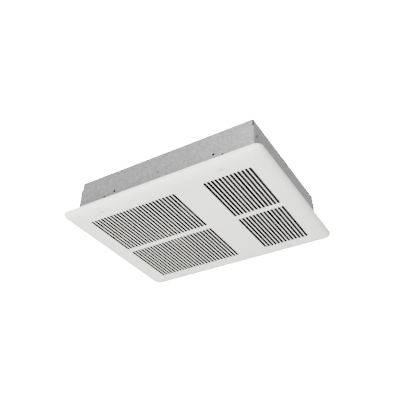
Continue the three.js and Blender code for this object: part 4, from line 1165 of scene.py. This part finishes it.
def make_fan():
    top, foot = FAN_Z + CUP_HALF, FAN_Z - CUP_HALF
    inner, roof = CUP_RADIUS - CUP_WALL, top - CUP_WALL
    bore, boss = BOSS_RADIUS, BOSS_RADIUS + BOSS_WALL
    profile = [
        (bore, top), (CUP_RADIUS - 2, top), (CUP_RADIUS - 0.6, top - 0.6), (CUP_RADIUS, top - 2),
        (CUP_RADIUS, foot), (inner, foot), (inner, roof - 1), (inner - 1, roof),
        (boss, roof), (boss, foot + 4), (bore, foot + 4), (bore, top),
    ]
    whole = turned(profile, 60)
    for i in range(BLADES):
        whole = merge(whole, turn(make_blade(), 360 * i / BLADES, "Z"))
    return move(whole, x=FAN_X)


# The fan's near-black colour is painted shade.
fan = make_piece("pressed_fan", make_fan(), "fan_aluminium", ["fan_blades"], body="fan_rotor")
round_edges(fan, 0.25, 2, math.radians(40))

# %% [markdown]
# The motor's winding is wound on a bobbin and wrapped in tape, so it bulges softly between two
# moulded cheeks. Both are outlines with a hole for the core, given a height along the core.

# %% The motor's coil
COIL_Y, COIL_Z = 59, 22
COIL_HALF = 15.8
WINDING_HALF, CHEEK_HALF, CORE_HOLE = (14.6, 17.6), (16, 19), (7.3, 10.3)
CHEEK = 1.2


def collar(half, radius, start, length):
    """A rounded block along x with a hole for the core."""
    shape = bmesh.new()
    rounded_loop(shape, (COIL_Y, COIL_Z), half, radius)
    rounded_loop(shape, (COIL_Y, COIL_Z), CORE_HOLE, 0.8, 2)
    slab(fill_loops(shape), length)
    return stand(shape, *FACING_X, (FAN_X + start, 0, 0))


wound = collar(WINDING_HALF, 6, -COIL_HALF, 2 * COIL_HALF)
winding = make_piece("wound_coil", wound, "taped_winding", ["motor_coil"])
round_edges(winding, 1.6, 3, math.radians(50))
cheeks = [collar(CHEEK_HALF, 2, x, CHEEK) for x in (-COIL_HALF - CHEEK, COIL_HALF)]
make_piece("coil_cheeks", merge(*cheeks), "phenolic", rounded=0.3)

# %% [markdown]
# An element is a steel tube bent to a hairpin, with plate fins pressed over both legs. The tube is
# one circle, pulled straight, spun half round and pulled back. One fin is made, with a drawn collar
# round each leg, and then copied along the legs.

# %% The elements
ELEMENT_Z = 28
DUCT_MIDDLE = 157.6
PIN_SPACING, LEG_SPACING = 62, 30
TUBE_RADIUS = 4
SHEATH_END, BEND_Y = -154.45, 132.25
PIN_RADIUS, PIN_END = 1.7, -160.4
FIN_HALF = (27, 12)
FIN_FIRST, FIN_LAST, FINS = -136.25, 118.25, 36
FIN_SHEET = 0.5
NECK = (TUBE_RADIUS + 0.05, TUBE_RADIUS + 0.45, 2)  # a fin's collar: inside, outside, length
TUBE_STEPS = 20


def make_hairpin(middle):
    shape = bmesh.new()
    start = Matrix.Translation((middle + LEG_SPACING / 2, SHEATH_END, ELEMENT_Z))
    start @= Matrix.Rotation(math.pi / 2, 4, "X")
    bmesh.ops.create_circle(
        shape, cap_ends=True, segments=TUBE_STEPS, radius=TUBE_RADIUS, matrix=start
    )
    ring = pull(shape, shape.edges[:], (0, BEND_Y - SHEATH_END, 0))
    bent = bmesh.ops.spin(
        shape, geom=verts_of(ring) + ring, cent=(middle, BEND_Y, ELEMENT_Z), axis=(0, 0, 1),
        angle=math.pi, steps=16,
    )["geom_last"]
    ring = pull(shape, new_edges(bent), (0, SHEATH_END - BEND_Y, 0))
    bmesh.ops.contextual_create(shape, geom=ring)
    radius, length = PIN_RADIUS, SHEATH_END - PIN_END + 1
    profile = [(0, 0), (radius, 0), (radius, length - 0.4), (radius - 0.4, length), (0, length)]
    for leg in (-1, 1):
        place = (middle + leg * LEG_SPACING / 2, SHEATH_END + 1, ELEMENT_Z)
        shape = merge(shape, aim(turned(profile, 16), (0, -1, 0), place))
    return shape


def make_fin(middle):
    fin = bmesh.new()
    rounded_loop(fin, (middle, ELEMENT_Z), FIN_HALF, 2, 3)
    inside, outside, length = NECK
    profile = [(inside, 0), (outside, 0), (outside, length), (inside, length), (inside, 0)]
    legs = [middle - LEG_SPACING / 2, middle + LEG_SPACING / 2]
    for x in legs:
        punch(fin, x, ELEMENT_Z, inside, segments=TUBE_STEPS)
    slab(fill_loops(fin), FIN_SHEET)
    for x in legs:
        fin = merge(fin, move(turned(profile, TUBE_STEPS), x, ELEMENT_Z))
    return stand(fin, *FACING_Y, (0, FIN_FIRST, 0))


def make_fins(middle):
    fins = make_fin(middle)
    first = fins.faces[:]
    step = (FIN_LAST - FIN_FIRST) / (FINS - 1)
    for i in range(1, FINS):
        copied = bmesh.ops.duplicate(fins, geom=first)["geom"]
        bmesh.ops.translate(fins, verts=new_verts(copied), vec=(0, i * step, 0))
    return fins


for way, side_name in ENDS:
    middle, node = DUCT_MIDDLE + way * PIN_SPACING / 2, f"element_{side_name}"
    make_piece(f"hairpin_{side_name}", make_hairpin(middle), "element_sheath", [node])
    make_piece(f"plate_fins_{side_name}", make_fins(middle), "element_sheath")

# %% [markdown]
# Two bimetal disc switches sit on the channel's wall: the fan delay, and the cutout with its red
# reset button. Each is a moulded body in a crimped plate, with two push-on tags.

# %% The switches
SWITCH_Z = 25
DISC_FACE = 83.4
PLATE_FACE = 93.4
SWITCHES = (  # name, node, middle along y and the bore for a button
    ("cutout", "thermal_cutout", -60, 2.6),
    ("delay", "fan_delay_switch", 10, 0),
)
CAP_PROFILE = ((6.2, 1.5), (6.5, 1.2), (6.5, 0), (8.2, 0), (8.5, -0.3), (8.5, -10))
CRIMP_PROFILE = ((8.55, 0), (9.3, 0), (9.3, 2.6), (8.55, 2.6), (8.55, 0))
BUTTON_PROFILE = ((0, 13.7), (1.2, 13.6), (1.9, 13.2), (2.3, 12.4), (2.3, 0.3), (2, 0), (0, 0))
BUTTON_X = 90.6
EAR, EAR_HOLE = 10.5, 1.6
TAG, TAG_Y, TAG_HOLE = 0.8, 5, 0.8
CLAMPS, CLAMP_WIDTH = 3, 40
CLAMP_START = (44.85, 115, 31.4)


def make_switch_body(y, bore):
    profile = [(bore, 1.5), *CAP_PROFILE, (bore, -10)]
    if bore:
        profile.append(profile[0])
    return aim(turned(profile, 40), (-1, 0, 0), (DISC_FACE, y, SWITCH_Z))


def make_switch_metal(y):
    ears = [(y - EAR, SWITCH_Z, EAR_HOLE), (y + EAR, SWITCH_Z, EAR_HOLE)]
    plate = slab(rounded_plate((y, SWITCH_Z), (13, 6), 2.5, ears), 1)
    stand(plate, *FACING_X, (PLATE_FACE, 0, 0))
    crimp = aim(turned(CRIMP_PROFILE, 40), (-1, 0, 0), (PLATE_FACE, y, SWITCH_Z))
    plate = merge(plate, crimp)
    hole = (DISC_FACE - 5.5, SWITCH_Z, TAG_HOLE)
    for side in (-1, 1):
        tag = slab(rounded_plate((DISC_FACE - 4, SWITCH_Z), (4, 2.4), 1, [hole]), TAG)
        plate = merge(plate, stand(tag, *FACING_Y, (0, y + side * TAG_Y + TAG / 2, 0)))
    return plate


for name, node, y, bore in SWITCHES:
    make_piece(f"{name}_switch_body", make_switch_body(y, bore), "phenolic", [node])
    metal = make_piece(f"{name}_switch_metal", make_switch_metal(y), "zinc_plated_steel")
    round_edges(metal, 0.15, 1)

button = aim(turned(BUTTON_PROFILE, 28), (-1, 0, 0), (BUTTON_X, SWITCHES[0][2], SWITCH_Z))
make_piece("reset_plunger", button, "red_button", ["reset_button"], body="reset")

clamps = []
for i in range(CLAMPS):
    x, y, z = CLAMP_START
    place = (x + (i + 0.5) * CLAMP_WIDTH / CLAMPS, y, z)
    clamps.append(aim(pan_screw(2.4, 1.4, 2.2), (0, 0, -1), place))
make_piece("terminal_clamps", merge(*clamps), "zinc_plated_steel")

# %% [markdown]
# The leads are sleeved wires a few millimetres thick that run through the channel between fixed
# ends. A curve with a round section follows each one's points smoothly, and is then made a mesh.

# %% The leads
LEAD_RADIUS = 1.3
LEAD_STEPS = 8
LEADS = {
    "element_lead_a": [
        (109.6, -158, 28), (95.7, -158, 28), (81.7, -152, 28), (70.9, -128, 29), (64.9, -100, 28),
        (68.1, -68, 25), (75.1, -65, 25),
    ],
    "element_lead_b": [
        (203.6, -158, 30), (202.6, -158, 34), (195.6, -158, 38), (141.6, -158, 38.6),
        (95.7, -158, 38), (79.7, -153, 38), (48, -118, 38), (44, 0, 38), (53.1, 97.7, 29.4),
        (53.1, 109.7, 29.4),
    ],
    "element_jumper": [(143.6, -158, 28), (157.6, -158, 25), (171.6, -158, 28)],
    "cutout_lead": [
        (75.1, -55, 25), (68.1, -52, 25), (62.9, 0, 16), (64.9, 74.7, 18), (64.9, 99.7, 29.4),
        (64.9, 109.7, 29.4),
    ],
    "motor_lead": [
        (-74.2, 75.3, 32), (-72.2, 85.3, 30), (-46.2, 91.3, 26), (-25.6, 84, 22),
        (26, 76.4, 24.7), (42, 76.4, 24.7), (64.9, 50, 22), (68.1, 18, 25), (75.1, 15, 25),
    ],
    "motor_lead_return": [
        (-74.2, 75.3, 22), (-72.2, 85.3, 21), (-44.2, 92.3, 19), (-21.6, 92, 17),
        (26, 79.6, 23.3), (42, 79.6, 23.3), (49.9, 97.7, 29.4), (49.9, 109.7, 29.4),
    ],
    "delay_lead": [
        (75.1, 5, 25), (69.1, 3, 25), (68.9, 14, 16), (70.9, 50, 18), (78.2, 97.7, 29.4),
        (78.2, 109.7, 29.4),
    ],
}


def make_lead(points):
    curve = bpy.data.curves.new("route", "CURVE")
    curve.dimensions = "3D"
    curve.bevel_depth = LEAD_RADIUS
    curve.bevel_resolution = 3
    curve.resolution_u = LEAD_STEPS
    curve.use_fill_caps = True
    spline = curve.splines.new("BEZIER")
    spline.bezier_points.add(len(points) - 1)
    for knot, point in zip(spline.bezier_points, points):
        knot.co = point
        knot.handle_left_type = knot.handle_right_type = "AUTO"
    holder = bpy.data.objects.new("route", curve)
    mesh = bpy.data.meshes.new_from_object(holder)
    shape = bmesh.new()
    shape.from_mesh(mesh)
    bmesh.ops.remove_doubles(shape, verts=shape.verts, dist=0.001)
    bpy.data.objects.remove(holder)
    bpy.data.curves.remove(curve)
    bpy.data.meshes.remove(mesh)
    return shape


for node, points in LEADS.items():
    make_piece(f"sleeved_{node}", make_lead(points), slots[node], [node])
